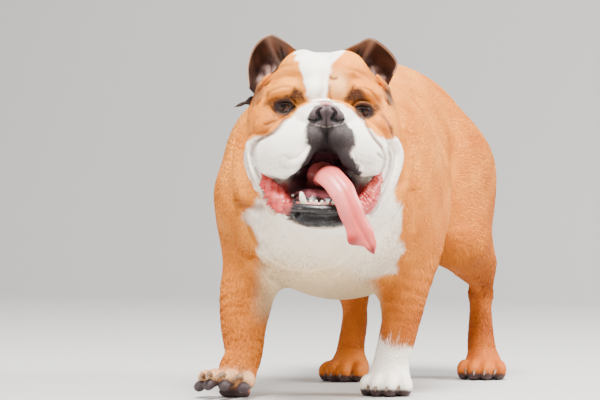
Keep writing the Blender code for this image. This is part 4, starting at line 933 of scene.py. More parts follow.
mesh = skin.data
mesh.calc_loop_triangles()
corner = np.empty(len(mesh.loop_triangles) * 3, np.int32)
mesh.loop_triangles.foreach_get("vertices", corner)
corner = corner.reshape(-1, 3)
tri = skin_at[corner]
tri_normal = np.cross(tri[:, 1] - tri[:, 0], tri[:, 2] - tri[:, 0])
tri_area = np.linalg.norm(tri_normal, axis=1) / 2
tri_normal = tri_normal / np.maximum(tri_area[:, None] * 2, 1e-12)
point_normal = np.zeros_like(skin_at)
for k in range(3):
    np.add.at(point_normal, corner[:, k], tri_normal * tri_area[:, None])
point_normal /= np.maximum(np.linalg.norm(point_normal, axis=1, keepdims=True), 1e-12)


def lie_of_coat(p):
    """The way the hair lies: back over the body, down the legs, and from the nose on the head."""
    h = head_place(p)
    rotation = HEAD_BACK[:3, :3]
    out = (h - np.array((0.0, -0.046, -0.006))) @ rotation
    out = out / np.linalg.norm(out, axis=1, keepdims=True)
    away = np.sqrt((h[:, 0] / 0.10) ** 2 + ((h[:, 1] - 0.02) / 0.10) ** 2 + ((h[:, 2] + 0.03) / 0.13) ** 2)
    head = (1 - soft(away, 0.9, 1.25))[:, None]
    leg = soft(0.20 - p[:, 2], 0.0, 0.05)[:, None]
    foot = soft(0.045 - p[:, 2], 0.0, 0.012)[:, None]
    neck = soft(-p[:, 1], 0.06, 0.14)[:, None]
    flow = np.tile((0.0, 1.0, -0.30), (len(p), 1))
    flow = flow * (1 - neck) + neck * np.array((0.0, 0.35, -1.0))
    flow = flow * (1 - leg) + leg * np.array((0.0, 0.12, -1.0))
    flow = flow * (1 - foot) + foot * np.array((0.0, -1.0, -0.35))
    flow = flow * (1 - head) + head * out
    return flow


def lock_length(p):
    """How long a lock is: 1.5 mm on the muzzle, 3 mm on head and feet, 8 mm on the body."""
    h = head_place(p)
    away = np.sqrt(h[:, 0] ** 2 + (h[:, 1] + 0.04) ** 2 + (h[:, 2] + 0.04) ** 2)
    length = 0.0014 + 0.0014 * soft(away, 0.05, 0.11) + 0.0054 * soft(away, 0.14, 0.26)
    foot = soft(0.06 - p[:, 2], 0.0, 0.03)
    length = length * (1 - foot) + 0.0030 * foot
    return length * (1 - 0.5 * np.clip(pressed_folds(p)[0] / 0.0015, 0, 1))


REGIONS = {
    "coat_face": lambda h, p: (np.abs(h[:, 0]) < 0.2) & (h[:, 1] < 0.022),
    "coat_head": lambda h, p: h[:, 1] < 0.11,
    "coat_forelegs": lambda h, p: (p[:, 2] < 0.20) & (p[:, 1] < 0.06),
    "coat_hindlegs": lambda h, p: (p[:, 2] < 0.20) & (p[:, 1] >= 0.06),
    "coat_chest": lambda h, p: p[:, 1] < -0.02,
    "coat_back": lambda h, p: p[:, 1] < 0.16,
    "coat_rump": lambda h, p: p[:, 1] >= 0.16,
}
LOCKS = 48000
LOCK_FACES = np.array([(0, 2, 1), (3, 1, 2), (0, 1, 3), (0, 3, 2)])
LOCK_TONES = np.array((0.90, 1.0, 1.0, 1.05))
PATCH = np.array([(0, -1), (-0.6, 0), (0.6, 0), (0, 1)]) * 0.0015
BARE_LIMIT, SOLE_HEIGHT = 0.45, 0.006
coat_finish = surface_material("bulldog_coat", 0.55, scale=1200.0)
coat_rng = np.random.default_rng(11)
middles = tri.mean(axis=1)
middle_head = head_place(middles)
near_head = ((np.abs(middle_head[:, 0]) < 0.115) & (middle_head[:, 1] < 0.11)
             & (middle_head[:, 2] > -0.150) & (middle_head[:, 2] < 0.10)
             & (np.linalg.norm(middle_head / np.array((1, 1, 1.15)), axis=1) < 0.135))
free = tri_area.copy()
tri_bare = skin_bare[corner].mean(axis=1)
free[tri_bare > BARE_LIMIT] = 0
free[middles[:, 2] < SOLE_HEIGHT] = 0
taken = np.zeros(len(free), bool)


def unrolled(coat_name, root):
    """A root's place on its region rolled out round its own axis: share of a turn, and along."""
    if coat_name in ("coat_face", "coat_head"):
        place = head_place(root) - np.array((0, 0.02, -0.03))
        turn = np.arctan2(place[:, 0], -place[:, 1]) / (2 * math.pi) + 0.5
        return turn, place[:, 2] / 0.26 + 0.5
    if coat_name in ("coat_forelegs", "coat_hindlegs"):
        side = (root[:, 0] > 0.02).astype(float)
        middle = side * 0.19 - 0.09
        turn = np.arctan2(root[:, 0] - middle, root[:, 1] - root[:, 1].mean()) / (2 * math.pi) + 0.5
        return (turn + side) / 2, root[:, 2] / 0.21
    turn = np.arctan2(root[:, 0], root[:, 2] - 0.24) / (2 * math.pi) + 0.5
    return turn, (root[:, 1] - root[:, 1].min()) / np.ptp(root[:, 1])


for coat_name, chooses in REGIONS.items():
    chosen = chooses(middle_head, middles) & ~taken
    if coat_name in ("coat_face", "coat_head"):
        chosen &= near_head
    taken |= chosen
    weight = np.where(chosen, free, 0.0)
    pick = coat_rng.choice(len(weight), LOCKS, p=weight / weight.sum())
    a, b = coat_rng.random((2, LOCKS, 1))
    turn_back = a + b > 1
    a, b = np.where(turn_back, 1 - a, a), np.where(turn_back, 1 - b, b)
    c = 1 - a - b
    ends = corner[pick]
    root = tri[pick, 0] * c + tri[pick, 1] * a + tri[pick, 2] * b
    normal = point_normal[ends[:, 0]] * c + point_normal[ends[:, 1]] * a + point_normal[ends[:, 2]] * b
    normal /= np.maximum(np.linalg.norm(normal, axis=1, keepdims=True), 1e-9)
    flow = lie_of_coat(root) + coat_rng.normal(scale=0.07, size=(LOCKS, 3))
    flow -= normal * (flow * normal).sum(axis=1, keepdims=True)
    flow /= np.maximum(np.linalg.norm(flow, axis=1, keepdims=True), 1e-6)
    across = np.cross(normal, flow)
    length = (lock_length(root) * coat_rng.uniform(0.7, 1.25, LOCKS))[:, None]
    width = length * 0.028 + 0.00010
    lift = coat_rng.uniform(0.010, 0.055, (LOCKS, 1))
    start = root - normal * 0.0004
    clear = 0.00012 + 0.00026 * soft(length, 0.0030, 0.0060)
    ring = root + flow * length * 0.38 + normal * (length * lift * 0.62 + clear)
    tip = root + flow * length + normal * (length * lift * 0.75 - 0.0001)
    points = np.stack([start, ring - across * width, ring + across * width, tip], axis=1)
    faces = (np.arange(LOCKS)[:, None, None] * 4 + LOCK_FACES[None]).reshape(-1, 3)
    coat_data = bpy.data.meshes.new(coat_name)
    coat_data.vertices.add(LOCKS * 4)
    coat_data.vertices.foreach_set("co", (points.reshape(-1, 3) + shift).astype(np.float32).ravel())
    coat_data.loops.add(LOCKS * 12)
    coat_data.loops.foreach_set("vertex_index", faces.astype(np.int32).ravel())
    coat_data.polygons.add(LOCKS * 4)
    coat_data.polygons.foreach_set("loop_start", np.arange(0, LOCKS * 12, 3, dtype=np.int32))
    coat_data.polygons.foreach_set("use_smooth", np.ones(LOCKS * 4, bool))
    coat_data.materials.append(coat_finish)
    coat_data.update(calc_edges=True)
    coat = bpy.data.objects.new(coat_name, coat_data)
    bpy.context.scene.collection.objects.link(coat)
    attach(coat, "root")
    # a lock is darker at its root, and tan hair varies more than white
    colour, _, _ = markings(root)
    spread = np.where(colour[:, 2] > 0.30, 0.05, 0.15)[:, None, None]
    shade = 1 + spread * coat_rng.uniform(-1.2, 0.8, (LOCKS, 1, 1))
    shade = shade * LOCK_TONES[None, :, None]
    tint = np.clip(colour[:, None, :] * shade, 0.003, 0.95).reshape(-1, 3)
    paint_points(coat, tint, 0.0)

    # the bake map: a small patch at the root's place on the rolled-out region
    place = np.stack(unrolled(coat_name, root), axis=1)
    patch = place[:, None, :] * 0.99 + 0.005 + PATCH[None]
    uv = coat_data.uv_layers.new(name="OFBake")
    uv.data.foreach_set("uv", patch.reshape(-1, 2)[faces.ravel()].astype(np.float32).ravel())

# The eyes: whole glass balls set in the sockets, with a brown ring of fine lines round a black
# pupil and a front that bulges a little. Only the front shows between the lids.

eye_finish = bpy.data.materials.new("eye_glass_brown")
eye_finish.use_nodes = True
eye_shader = eye_finish.node_tree.nodes["Principled BSDF"]
eye_colour = eye_finish.node_tree.nodes.new("ShaderNodeAttribute")
eye_colour.attribute_name = "coat_colour"
eye_finish.node_tree.links.new(eye_colour.outputs["Color"], eye_shader.inputs["Base Color"])
eye_shader.inputs["Roughness"].default_value = 0.06
eye_shader.inputs["Specular IOR Level"].default_value = 0.24
PUPIL, IRIS, WHITE_START = 0.21, 0.61, 0.74
GAZE = Euler((math.radians(2), 0, math.radians(-3)))


def on_head(p):
    """Points of the head's own frame, turned and moved into the animal's."""
    return p @ np.array(HEAD_POSE.to_3x3()).T + np.array(HEAD_POSE.translation)


def grid_faces(rows, columns, rows_close=False, columns_close=True):
    """Quads between the points of a grid, with its last row or column joined to its first."""
    i = np.arange(rows if rows_close else rows - 1)
    j = np.arange(columns if columns_close else columns - 1)
    i, j = np.meshgrid(i, j, indexing="ij")
    below, across = (i + 1) % rows, (j + 1) % columns
    quads = [i * columns + j, i * columns + across, below * columns + across, below * columns + j]
    return np.stack(quads, axis=-1).reshape(-1, 4)


def tube_faces(rows, sides, base=0, flip=False):
    """The faces of a closed tube: quads along it and one face across each end, counted from base."""
    faces = [*grid_faces(rows, sides).tolist(), list(range(sides))[::-1],
             list(range((rows - 1) * sides, rows * sides))]
    return [[base + k for k in (face[::-1] if flip else face)] for face in faces]


for eye_name, centre in EYES.items():
    rows, columns = 48, 64
    polar = np.linspace(0.004, math.pi - 0.004, rows)[:, None]
    spin = np.linspace(0, 2 * math.pi, columns, endpoint=False)[None, :]
    bulge = EYE_RADIUS * (1 + 0.035 * np.exp(-((polar / 0.50) ** 2)))
    ball = np.stack([bulge * np.sin(polar) * np.cos(spin), -bulge * np.cos(polar) * np.ones_like(spin),
                     bulge * np.sin(polar) * np.sin(spin)], axis=-1).reshape(-1, 3)
    angle = np.repeat(polar, columns, axis=1).ravel()
    whirl = np.repeat(spin, rows, axis=0).ravel()
    streak = 0.5 + 0.5 * np.sin(whirl * 23 + 2.0 * np.sin(whirl * 7)) * np.sin(angle * 40)
    iris = np.array((0.012, 0.0035, 0.0018)) + streak[:, None] * np.array((0.018, 0.005, 0.0015))
    pupil = (1 - soft(angle, PUPIL - 0.02, PUPIL + 0.02))[:, None]
    limbus = soft(angle, IRIS - 0.05, IRIS + 0.05)[:, None]
    white = soft(angle, WHITE_START - 0.04, WHITE_START + 0.04)[:, None]
    tint = iris * (1 - pupil) + 0.002 * pupil
    tint = tint * (1 - limbus) + 0.004 * limbus
    tint = tint * (1 - white) + np.array((0.20, 0.13, 0.12)) * white
    eye_at = on_head(ball @ np.array(GAZE.to_matrix()).T + np.array(centre))
    eye = new_piece(eye_name + "_glass", eye_at + shift, tube_faces(rows, columns, flip=True),
                    eye_finish)
    paint_points(eye, tint, 1.0)
    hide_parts(eye_name)

# The rims of the lids: a thin wet black cord of bare skin round each slit, drawn to a point at
# both corners. It lies on the ball, and the heavy lids of the skin run up to it.

lid_finish = bpy.data.materials.new("eyelid_rim")
lid_finish.use_nodes = True
lid_nodes, lid_links = lid_finish.node_tree.nodes, lid_finish.node_tree.links
lid_shader = lid_nodes["Principled BSDF"]
lid_shader.inputs["Roughness"].default_value = 0.28
lid_shader.inputs["Specular IOR Level"].default_value = 0.25
lid_place = lid_nodes.new("ShaderNodeTexCoord")
lid_tone = lid_nodes.new("ShaderNodeTexNoise")
lid_tone.inputs["Scale"].default_value = 400
lid_ramp = lid_nodes.new("ShaderNodeValToRGB")
lid_ramp.color_ramp.elements[0].color = (0.004, 0.003, 0.003, 1)
lid_ramp.color_ramp.elements[1].color = (0.020, 0.012, 0.012, 1)
lid_links.new(lid_place.outputs["Object"], lid_tone.inputs["Vector"])
lid_links.new(lid_tone.outputs["Fac"], lid_ramp.inputs["Fac"])
lid_links.new(lid_ramp.outputs["Color"], lid_shader.inputs["Base Color"])

LID_SPAN, LID_UP, LID_DOWN = 0.0086, 0.0047, 0.0058
RIM_POINTS, RIM_SIDES = 72, 10
for eye_name, (ex, ey, ez) in EYES.items():
    side = math.copysign(1.0, ex)
    t = np.linspace(0, 2 * math.pi, RIM_POINTS, endpoint=False)
    lift = np.where(np.sin(t) > 0, LID_UP, LID_DOWN)
    across = LID_SPAN * np.sign(np.cos(t)) * np.abs(np.cos(t)) ** 0.85 * side
    up = lift * np.sin(t) - 0.0010 - 0.10 * across * side
    ring_radius = EYE_RADIUS + 0.0006
    depth = -np.sqrt(np.maximum(ring_radius**2 - across**2 - up**2, 1e-8))
    line = np.stack([ex - 0.0003 * side + across, ey + depth, ez + up], axis=1)
    ahead = np.roll(line, -1, axis=0) - np.roll(line, 1, axis=0)
    ahead /= np.linalg.norm(ahead, axis=1, keepdims=True)
    outward = line - np.array((ex, ey, ez))
    outward /= np.linalg.norm(outward, axis=1, keepdims=True)
    over = np.cross(ahead, outward)
    thick = (0.00070 + 0.0003 * np.sin(t))[:, None, None]
    k = np.linspace(0, 2 * math.pi, RIM_SIDES, endpoint=False)[None, :, None]
    round_it = np.cos(k) * over[:, None, :] * 1.3 + np.sin(k) * outward[:, None, :]
    rim_at = on_head((line[:, None, :] + thick * round_it).reshape(-1, 3))
    quads = grid_faces(RIM_POINTS, RIM_SIDES, rows_close=True)
    new_piece(eye_name + "_lid_rim", rim_at + shift, quads.tolist(), lid_finish)

# Rose ears: thin cupped leather with almost no hair, dark brown inside with a pale rim, a ridge
# and small folds. Each runs from a root line on the skull to its rim, and has two faces.

EAR_ROOTS = {
    "ear_right": [(-0.030, 0.042, 0.060), (-0.050, 0.044, 0.050), (-0.064, 0.042, 0.034),
                  (-0.074, 0.040, 0.012)],
    "ear_left": [(0.020, 0.046, 0.060), (0.042, 0.046, 0.052), (0.060, 0.044, 0.036),
                 (0.071, 0.042, 0.020)],
}
EAR_RIMS = {
    "ear_right": [(-0.032, 0.034, 0.070), (-0.046, 0.026, 0.080), (-0.063, 0.024, 0.087),
                  (-0.080, 0.026, 0.074), (-0.088, 0.032, 0.050), (-0.086, 0.034, 0.024)],
    "ear_left": [(0.021, 0.040, 0.069), (0.038, 0.030, 0.078), (0.054, 0.026, 0.085),
                 (0.072, 0.022, 0.074), (0.0845, 0.022, 0.057), (0.080, 0.025, 0.043)],
}
EAR_DARK = np.array((0.014, 0.006, 0.005))
EAR_BROWN = np.array((0.070, 0.032, 0.021))
EAR_GREY = np.array((0.150, 0.092, 0.068))
EAR_PINK = np.array((0.260, 0.150, 0.125))
EAR_RIM = np.array((0.340, 0.230, 0.170))
ear_finish = surface_material("ear_leather", 0.58, bump=0.6, scale=500.0)

for ear_name in EAR_ROOTS:
    rows, columns = 44, 110
    root_line = smooth_line(EAR_ROOTS[ear_name], columns)[None]
    rim_line = smooth_line(EAR_RIMS[ear_name], columns)[None]
    v = np.linspace(0, 1, rows)[:, None, None]
    u = np.linspace(0, 1, columns)[None, :, None]
    depth = np.minimum(0.45 * np.linalg.norm(rim_line - root_line, axis=2), 0.020)[..., None]
    cup = np.sin(math.pi * v) * depth * (0.3 + 0.7 * np.sin(math.pi * u))
    ridge = 0.0075 * np.exp(-(((u - 0.34 - 0.10 * v) / 0.055) ** 2)) * np.sin(math.pi * v) ** 0.7
    pleats = 0.0024 * np.sin(30 * u + 7 * v + 2 * np.sin(9 * v)) * np.exp(-(((v - 0.22) / 0.22) ** 2))
    pleats = pleats * soft(u, 0.38, 0.52)
    middle = root_line * (1 - v) + rim_line * v
    middle = middle + (cup - ridge - pleats) * np.array([0.0, 1.0, 0.0])
    roll = 0.0035 * soft(v, 0.80, 1.0) * np.sin(math.pi * u)
    middle = middle + roll * np.array([0.0, 1.0, -0.3])
    normal = np.cross(np.gradient(middle, axis=0), np.gradient(middle, axis=1))
    normal /= np.linalg.norm(normal, axis=2, keepdims=True)
    edge = np.sqrt(np.clip((1 - v) / 0.05, 0, 1)) * np.sqrt(np.clip(np.minimum(u, 1 - u) / 0.02, 0, 1))
    half = 0.0015 * edge * (1 - 0.3 * v)
    one, two = middle + normal * half, middle - normal * half
    front, back = (one, two) if one[:, :, 1].mean() < two[:, :, 1].mean() else (two, one)
    wrap = np.concatenate([front, back[::-1]], axis=0)
    loop = len(wrap)
    quads = grid_faces(loop, columns, rows_close=True, columns_close=False)[:, [0, 3, 2, 1]]
    ear_at = on_head(wrap.reshape(-1, 3))
    ear = new_piece(ear_name + "_leather", ear_at + shift, quads.tolist(), ear_finish)
    vv = np.broadcast_to(v[..., 0], (rows, columns))
    uu = np.broadcast_to(u[..., 0], (rows, columns))
    shade = ripple(ear_at, 0.02, 21).reshape(loop, columns)[:rows]
    hairs = 0.12 * np.sin(uu * 230 + 3 * np.sin(vv * 17))
    inside = Paint(EAR_DARK * np.ones((rows, columns, 1)))
    inside.lay(0.32 + 0.35 * shade + hairs, EAR_BROWN)
    inside.lay((0.75 + hairs) * (1 - soft(uu - 0.10 * vv, 0.28, 0.40)), EAR_GREY)
    # the ridge painted lighter: a painted highlight
    ridge_highlight = np.exp(-(((uu - 0.34 - 0.10 * vv) / 0.045) ** 2)) * soft(vv, 0.1, 0.3)
    inside.lay(0.8 * ridge_highlight, EAR_GREY * 1.3)
    inside.lay(0.9 * (1 - soft(uu, 0.05, 0.17)) * (1 - soft(vv, 0.55, 0.9)), TAN * 0.8)
    # a dark line beside the ridge: painted shade of a fold
    fold_shade_line = np.exp(-(((uu - 0.22 - 0.05 * vv) / 0.022) ** 2)) * (1 - soft(vv, 0.6, 0.8))
    inside.lay(0.85 * fold_shade_line, EAR_DARK)
    creased = np.clip(0.55 + 0.45 * np.broadcast_to(pleats[..., 0], uu.shape) / 0.0016, 0, 1)
    inside.lay((1 - soft(vv, 0.22, 0.52)) * soft(uu, 0.34, 0.46), EAR_PINK * 0.35)
    inside.lay(creased * (1 - soft(vv, 0.18, 0.46)) * soft(uu, 0.34, 0.46), EAR_PINK)
    inside.lay(0.75 * soft(vv, 0.93, 0.98), EAR_RIM)
    outside = Paint(EAR_BROWN * 0.8 * np.ones((rows, columns, 1)))
    outside.lay(0.5 * soft(vv, 0.93, 1.0), EAR_RIM)
    ear_colour = np.concatenate([inside.colour, outside.colour[::-1]], axis=0).reshape(-1, 3)
    paint_points(ear, ear_colour, 0.0)
    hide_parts(ear_name)

# The back flap of the right ear: thin dark leather, of which only the tip shows beside the
# cheek, as a small leaf that tapers to a point.

flap_root, flap_tip = np.array((-0.080, 0.047, 0.011)), np.array((-0.1035, 0.040, 0.0015))
rows, sides = 20, 20
t = np.linspace(0, 1, rows)[:, None, None]
k = np.linspace(0, 2 * math.pi, sides, endpoint=False)[None, :, None]
girth = 0.0042 * np.clip(1 - t**1.3, 0.02, 1) * (1 + 0.3 * np.sin(11 * t))
flap_at = flap_root + (flap_tip - flap_root) * t + girth * (
    np.cos(k) * np.array((-0.15, 0.10, 0.98)) + 0.25 * np.sin(k) * np.array((0.3, 0.95, 0.0)))
flap_at = on_head(flap_at.reshape(-1, 3))
flap = new_piece("ear_right_flap_tip", flap_at + shift, tube_faces(rows, sides), ear_finish)
flap_tint = EAR_DARK * (1.6 + ripple(flap_at, 0.004, 23)[:, None])
paint_points(flap, flap_tint, 0.0)

# The tongue: soft wet flesh that hangs over the lower lip. Its section is a flat lens with a
# groove along the top, and near the tip one edge droops as a lobe, painted the dark red of the
# underside and darker still as painted shade.

TONGUE_LINE = [(-0.004, 0.020, -0.100), (-0.004, -0.006, -0.083), (-0.003, -0.028, -0.0725),
               (0.004, -0.050, -0.075), (0.017, -0.066, -0.090), (0.026, -0.072, -0.108),
               (0.034, -0.071, -0.126), (0.044, -0.067, -0.143), (0.0555, -0.062, -0.1625)]
TONGUE_HALVES = (0.0150, 0.0150, 0.0148, 0.0148, 0.0143, 0.0140, 0.0140, 0.0132, 0.0060)
rows, sides = 90, 40
line = smooth_line(TONGUE_LINE, rows)
share = np.linspace(0, 1, rows)
halves = np.interp(share, np.linspace(0, 1, len(TONGUE_HALVES)), TONGUE_HALVES)
halves = halves * np.sqrt(np.clip((1.0 - share) / 0.05, 0.02, 1)) + 0.0004 * np.sin(share * 40)
ahead = np.gradient(line, axis=0)
ahead /= np.linalg.norm(ahead, axis=1, keepdims=True)
across = np.cross(ahead, [0.0, -1.0, 0.35])
across /= np.linalg.norm(across, axis=1, keepdims=True)
up = np.cross(across, ahead)
turn = np.linspace(0, 2 * math.pi, sides, endpoint=False)[None, :]
wide, high = np.cos(turn), np.sin(turn)
thick = (0.0036 * np.sqrt(np.clip((1.0 - share) / 0.04, 0.05, 1)))[:, None]
groove = np.where(high < 0, 0.0014 * np.exp(-((wide / 0.14) ** 2)), 0.0) * soft(share, 0.3, 0.5)[:, None]
late = soft(share, 0.80, 0.97)[:, None]
cup = 0.22 * halves[:, None] * (wide * wide - 0.4) * (1 - 1.9 * late)
lobe = (np.exp(-(((share - 0.845) / 0.048) ** 2)))[:, None] * np.clip(wide, 0, 1) ** 1.3
rise = high * thick + groove + cup - 0.007 * lobe
pinch = 1 - 0.45 * soft(share, 0.885, 0.94)[:, None] * (wide > 0)
reach = wide * (halves[:, None] * pinch + 0.0072 * lobe)
tongue_at = line[:, None] + across[:, None] * reach[..., None] - up[:, None] * rise[..., None]
tongue_at = tongue_at.reshape(-1, 3)
tongue_finish = surface_material("tongue_flesh", 0.30, bump=0.35, scale=900.0)
tongue_shader = tongue_finish.node_tree.nodes["Principled BSDF"]
tongue_shader.inputs["Subsurface Weight"].default_value = 0.15
tongue_shader.inputs["Subsurface Scale"].default_value = 0.004
placed = on_head(tongue_at)
tongue = new_piece("tongue_flesh", placed + shift, tube_faces(rows, sides, flip=True),
                   tongue_finish)
above = np.repeat(1 - soft(high, 0.1, 0.4), rows, axis=0).ravel()
red = np.array((0.32, 0.026, 0.022))
pink = np.array((0.60, 0.105, 0.090))
root_shade_red = np.array((0.085, 0.018, 0.020))
grain = ripple(placed, 0.010, 31)[:, None] * 0.05 + ripple(placed, 0.003, 32)[:, None] * 0.03
tongue_tint = red + (pink - red) * above[:, None]
# a darker line down the middle of the top: painted shade along the groove
groove_shade = np.exp(-((np.broadcast_to(wide, (rows, sides)).ravel() / 0.35) ** 2))[:, None]
# a pale patch on the top of the tongue: a painted highlight
pale = np.exp(-(((share - 0.50) / 0.17) ** 2))[:, None] * np.exp(-(((wide - 0.35) / 0.5) ** 2))
tongue_tint = tongue_tint * (1 + grain) - 0.03 * groove_shade * above[:, None]
tongue_tint = tongue_tint + np.array((0.08, 0.085, 0.085)) * pale.reshape(-1, 1) * above[:, None]
# the drooping lobe and turned tip: the underside's red, darker still as painted shade
tip_turned = soft(share, 0.93, 0.97)[:, None] * soft(wide, -0.75, -0.35)
curled = np.maximum(np.clip(lobe * 1.5, 0, 1), tip_turned)
tongue_tint = tongue_tint + (red * 0.8 - tongue_tint) * curled.reshape(-1, 1)
# darker towards the root, where it goes into the mouth: painted shade
deep = (1 - soft(np.repeat(share, sides), 0.10, 0.40))[:, None]
tongue_tint = tongue_tint + (root_shade_red - tongue_tint) * 0.93 * deep
paint_points(tongue, np.clip(tongue_tint, 0.003, 0.95), 0.35)
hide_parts("tongue")

# The lower lips: wet red skin turned out at both sides of the chin, lumpy, with a frayed outer
# edge. Each is a thin puffed sheet between an inner and an outer line, given in millimetres.

lip_finish = surface_material("wet_lip", 0.30, bump=0.5, scale=1100.0)
LIP_FLESH, LIP_LUMP_TONE_AND_SHADE = np.array((0.45, 0.045, 0.036)), np.array((0.14, 0.052, 0.044))
LIP_EDGE, LIP_ROOT = np.array((0.42, 0.012, 0.010)), np.array((0.20, 0.028, 0.032))
LIP_HALF = 0.0013
LIPS = {
    "lip_right": ([(-67, -4, -66), (-58, -12, -80), (-46, -22, -90), (-38, -32, -100), (-37, -38, -109)],
                  [(-70, -6, -70), (-70, -14, -88), (-64, -24, -104), (-57, -31, -116), (-42, -38, -121)]),
    "lip_left": ([(63, -4, -66), (54, -14, -80), (45, -24, -88), (39, -32, -98), (40, -36, -108)],
                 [(67, -6, -70), (65, -15, -86), (59, -25, -101), (52, -31, -112), (43, -37, -118)]),
}
for seed, (lip_name, (inner, outer)) in enumerate(LIPS.items()):
    rows, columns = 120, 26
    a = smooth_line(np.array(inner) / 1000, rows)[:, None]
    b = smooth_line(np.array(outer) / 1000, rows)[:, None]
    u = np.linspace(0, 1, rows)[:, None, None]
    v = np.linspace(0, 1, columns)[None, :, None]
    fray = np.clip(np.sin(u * 33 + 1.3 * seed + 1.9 * np.sin(u * 13)), 0, 1) ** 2
    fray = fray + 0.7 * np.clip(np.sin(u * 71 + 2 * seed + 2 * np.sin(u * 19)), 0, 1) ** 3
    fray = (fray - 0.4) * 0.0042 * np.sin(math.pi * np.clip(u * 1.02, 0, 1)) ** 0.5
    way = (b - a) / np.linalg.norm(b - a, axis=2, keepdims=True)
    lip = a * (1 - v) + b * v + way * fray * v**7
    puff = 0.0070 * np.sin(math.pi * v) ** 0.8 * np.sin(math.pi * np.clip(u, 0.02, 1)) ** 0.5
    flat = lip.reshape(-1, 3)
    lumps = ripple(flat, 0.013, 70 + seed) + 0.30 * ripple(flat, 0.005, 80 + seed)
    lumps = lumps.reshape(rows, columns, 1)
    lip = lip + (puff + 0.0018 * lumps) * np.array([0.0, -1.0, 0.15])
    normal = np.cross(np.gradient(lip, axis=0), np.gradient(lip, axis=1))
    normal /= np.linalg.norm(normal, axis=2, keepdims=True)
    edge = np.sqrt(np.clip(np.minimum(np.minimum(v, 1 - v) / 0.08, np.minimum(u, 1 - u) / 0.03), 0, 1))
    front, back = lip + normal * LIP_HALF * edge, lip - normal * LIP_HALF * edge
    wrap = np.concatenate([front, back[:, ::-1]], axis=1).reshape(-1, 3)
    piece = new_piece(lip_name, on_head(wrap) + shift, grid_faces(rows, columns * 2).tolist(),
                      lip_finish)
    outward = np.broadcast_to(v, lumps.shape)
    outward = np.concatenate([outward, outward[:, ::-1]], axis=1).reshape(-1)
    raised = np.concatenate([lumps, lumps[:, ::-1]], axis=1).reshape(-1, 1)
    # lighter on raised lumps and darker red in the hollows: patchy flesh, partly painted shade of the lumps
    flesh = Paint(LIP_FLESH + LIP_LUMP_TONE_AND_SHADE * raised)
    flesh.lay(soft(outward, 0.74, 0.95), LIP_EDGE)
    flesh.lay(0.85 * (1 - soft(outward, 0.06, 0.26)), LIP_ROOT)
    paint_points(piece, np.clip(flesh.colour, 0.003, 0.95), 0.55)

# Lower teeth: ivory enamel, six blunt incisors between two canines, and one back tooth on each
# side. Each is a root, a tip and a radius: a peg that rounds off at its tip.

LOWER_TEETH = (
    ((-0.0215, -0.043, -0.114), (-0.0268, -0.047, -0.0940), 0.0044),
    ((0.0250, -0.042, -0.113), (0.0270, -0.045, -0.0960), 0.0042),
    ((-0.0150, -0.046, -0.112), (-0.0152, -0.050, -0.1030), 0.0025),
    ((-0.0090, -0.048, -0.112), (-0.0094, -0.052, -0.1034), 0.0024),
    ((-0.0030, -0.049, -0.112), (-0.0030, -0.053, -0.1034), 0.0024),
    ((0.0030, -0.049, -0.112), (0.0030, -0.053, -0.1034), 0.0024),
    ((0.0090, -0.048, -0.112), (0.0092, -0.052, -0.1034), 0.0024),
    ((0.0150, -0.046, -0.112), (0.0150, -0.050, -0.1034), 0.0025),
    ((-0.0350, -0.024, -0.110), (-0.0350, -0.026, -0.0970), 0.0038),
    ((0.0350, -0.024, -0.110), (0.0350, -0.026, -0.0970), 0.0038),
)
TOOTH_ROOT, TOOTH_TIP = np.array((0.72, 0.60, 0.40)), np.array((0.82, 0.75, 0.60))
tooth_finish = surface_material("tooth_enamel", 0.25, bump=0.15, scale=600.0)
tooth_points, tooth_faces, tooth_tint = [], [], []
rows, sides = 12, 14
t = np.linspace(0, 1, rows)[:, None]
k = np.linspace(0, 2 * math.pi, sides, endpoint=False)[None, :]
for root, tip, radius in LOWER_TEETH:
    root, tip = np.array(root), np.array(tip)
    axis = (tip - root) / np.linalg.norm(tip - root)
    one = np.cross(axis, (0, 1, 0))
    one /= np.linalg.norm(one)
    two = np.cross(axis, one)
    girth = radius * (1 - 0.12 * t) * np.sqrt(np.clip(1 - t**3.2, 0.004, 1))
    body = root + (tip - root) * t[..., None] + girth[..., None] * (
        np.cos(k)[..., None] * one + np.sin(k)[..., None] * two)
    tooth_faces += tube_faces(rows, sides, len(tooth_points) * rows * sides)
    tooth_points.append(body.reshape(-1, 3))
    ivory = TOOTH_ROOT + (TOOTH_TIP - TOOTH_ROOT) * t[..., None]
    tooth_tint.append(np.repeat(ivory, sides, axis=1).reshape(-1, 3))
tooth_at = on_head(np.concatenate(tooth_points))
teeth = new_piece("lower_teeth", tooth_at + shift, tooth_faces, tooth_finish)
paint_points(teeth, np.concatenate(tooth_tint), 0.6)

# Lower gums: a low wet pink ridge of flesh round the inside of the chin, scalloped between the
# teeth that stand in it.

GUM_ARCH = [(-0.037, -0.022, -0.1115), (-0.028, -0.040, -0.1110), (-0.012, -0.0475, -0.1105),
            (0.012, -0.0475, -0.1105), (0.028, -0.040, -0.1110), (0.037, -0.022, -0.1115)]
rows, sides = 70, 14
t = np.linspace(0, 1, rows)[:, None]
k = np.linspace(0, 2 * math.pi, sides, endpoint=False)[None, :]
arch = smooth_line(GUM_ARCH, rows)[:, None]
lumps = 0.0042 + 0.0008 * np.abs(np.sin(t * 28)) * np.ones_like(k)
ends = np.sqrt(np.clip(np.minimum(t, 1 - t) / 0.04, 0.01, 1))
gum_at = arch + (lumps * ends)[..., None] * (np.cos(k)[..., None] * np.array((0.0, 1.0, 0.0))
                                            + 1.15 * np.sin(k)[..., None] * np.array((0.0, 0.0, 1.0)))
gum_at = on_head(gum_at.reshape(-1, 3))
gums = new_piece("lower_gums", gum_at + shift, tube_faces(rows, sides), lip_finish)
gum_tint = np.array((0.46, 0.12, 0.115)) * (1 + 0.25 * ripple(gum_at, 0.006, 51)[:, None])
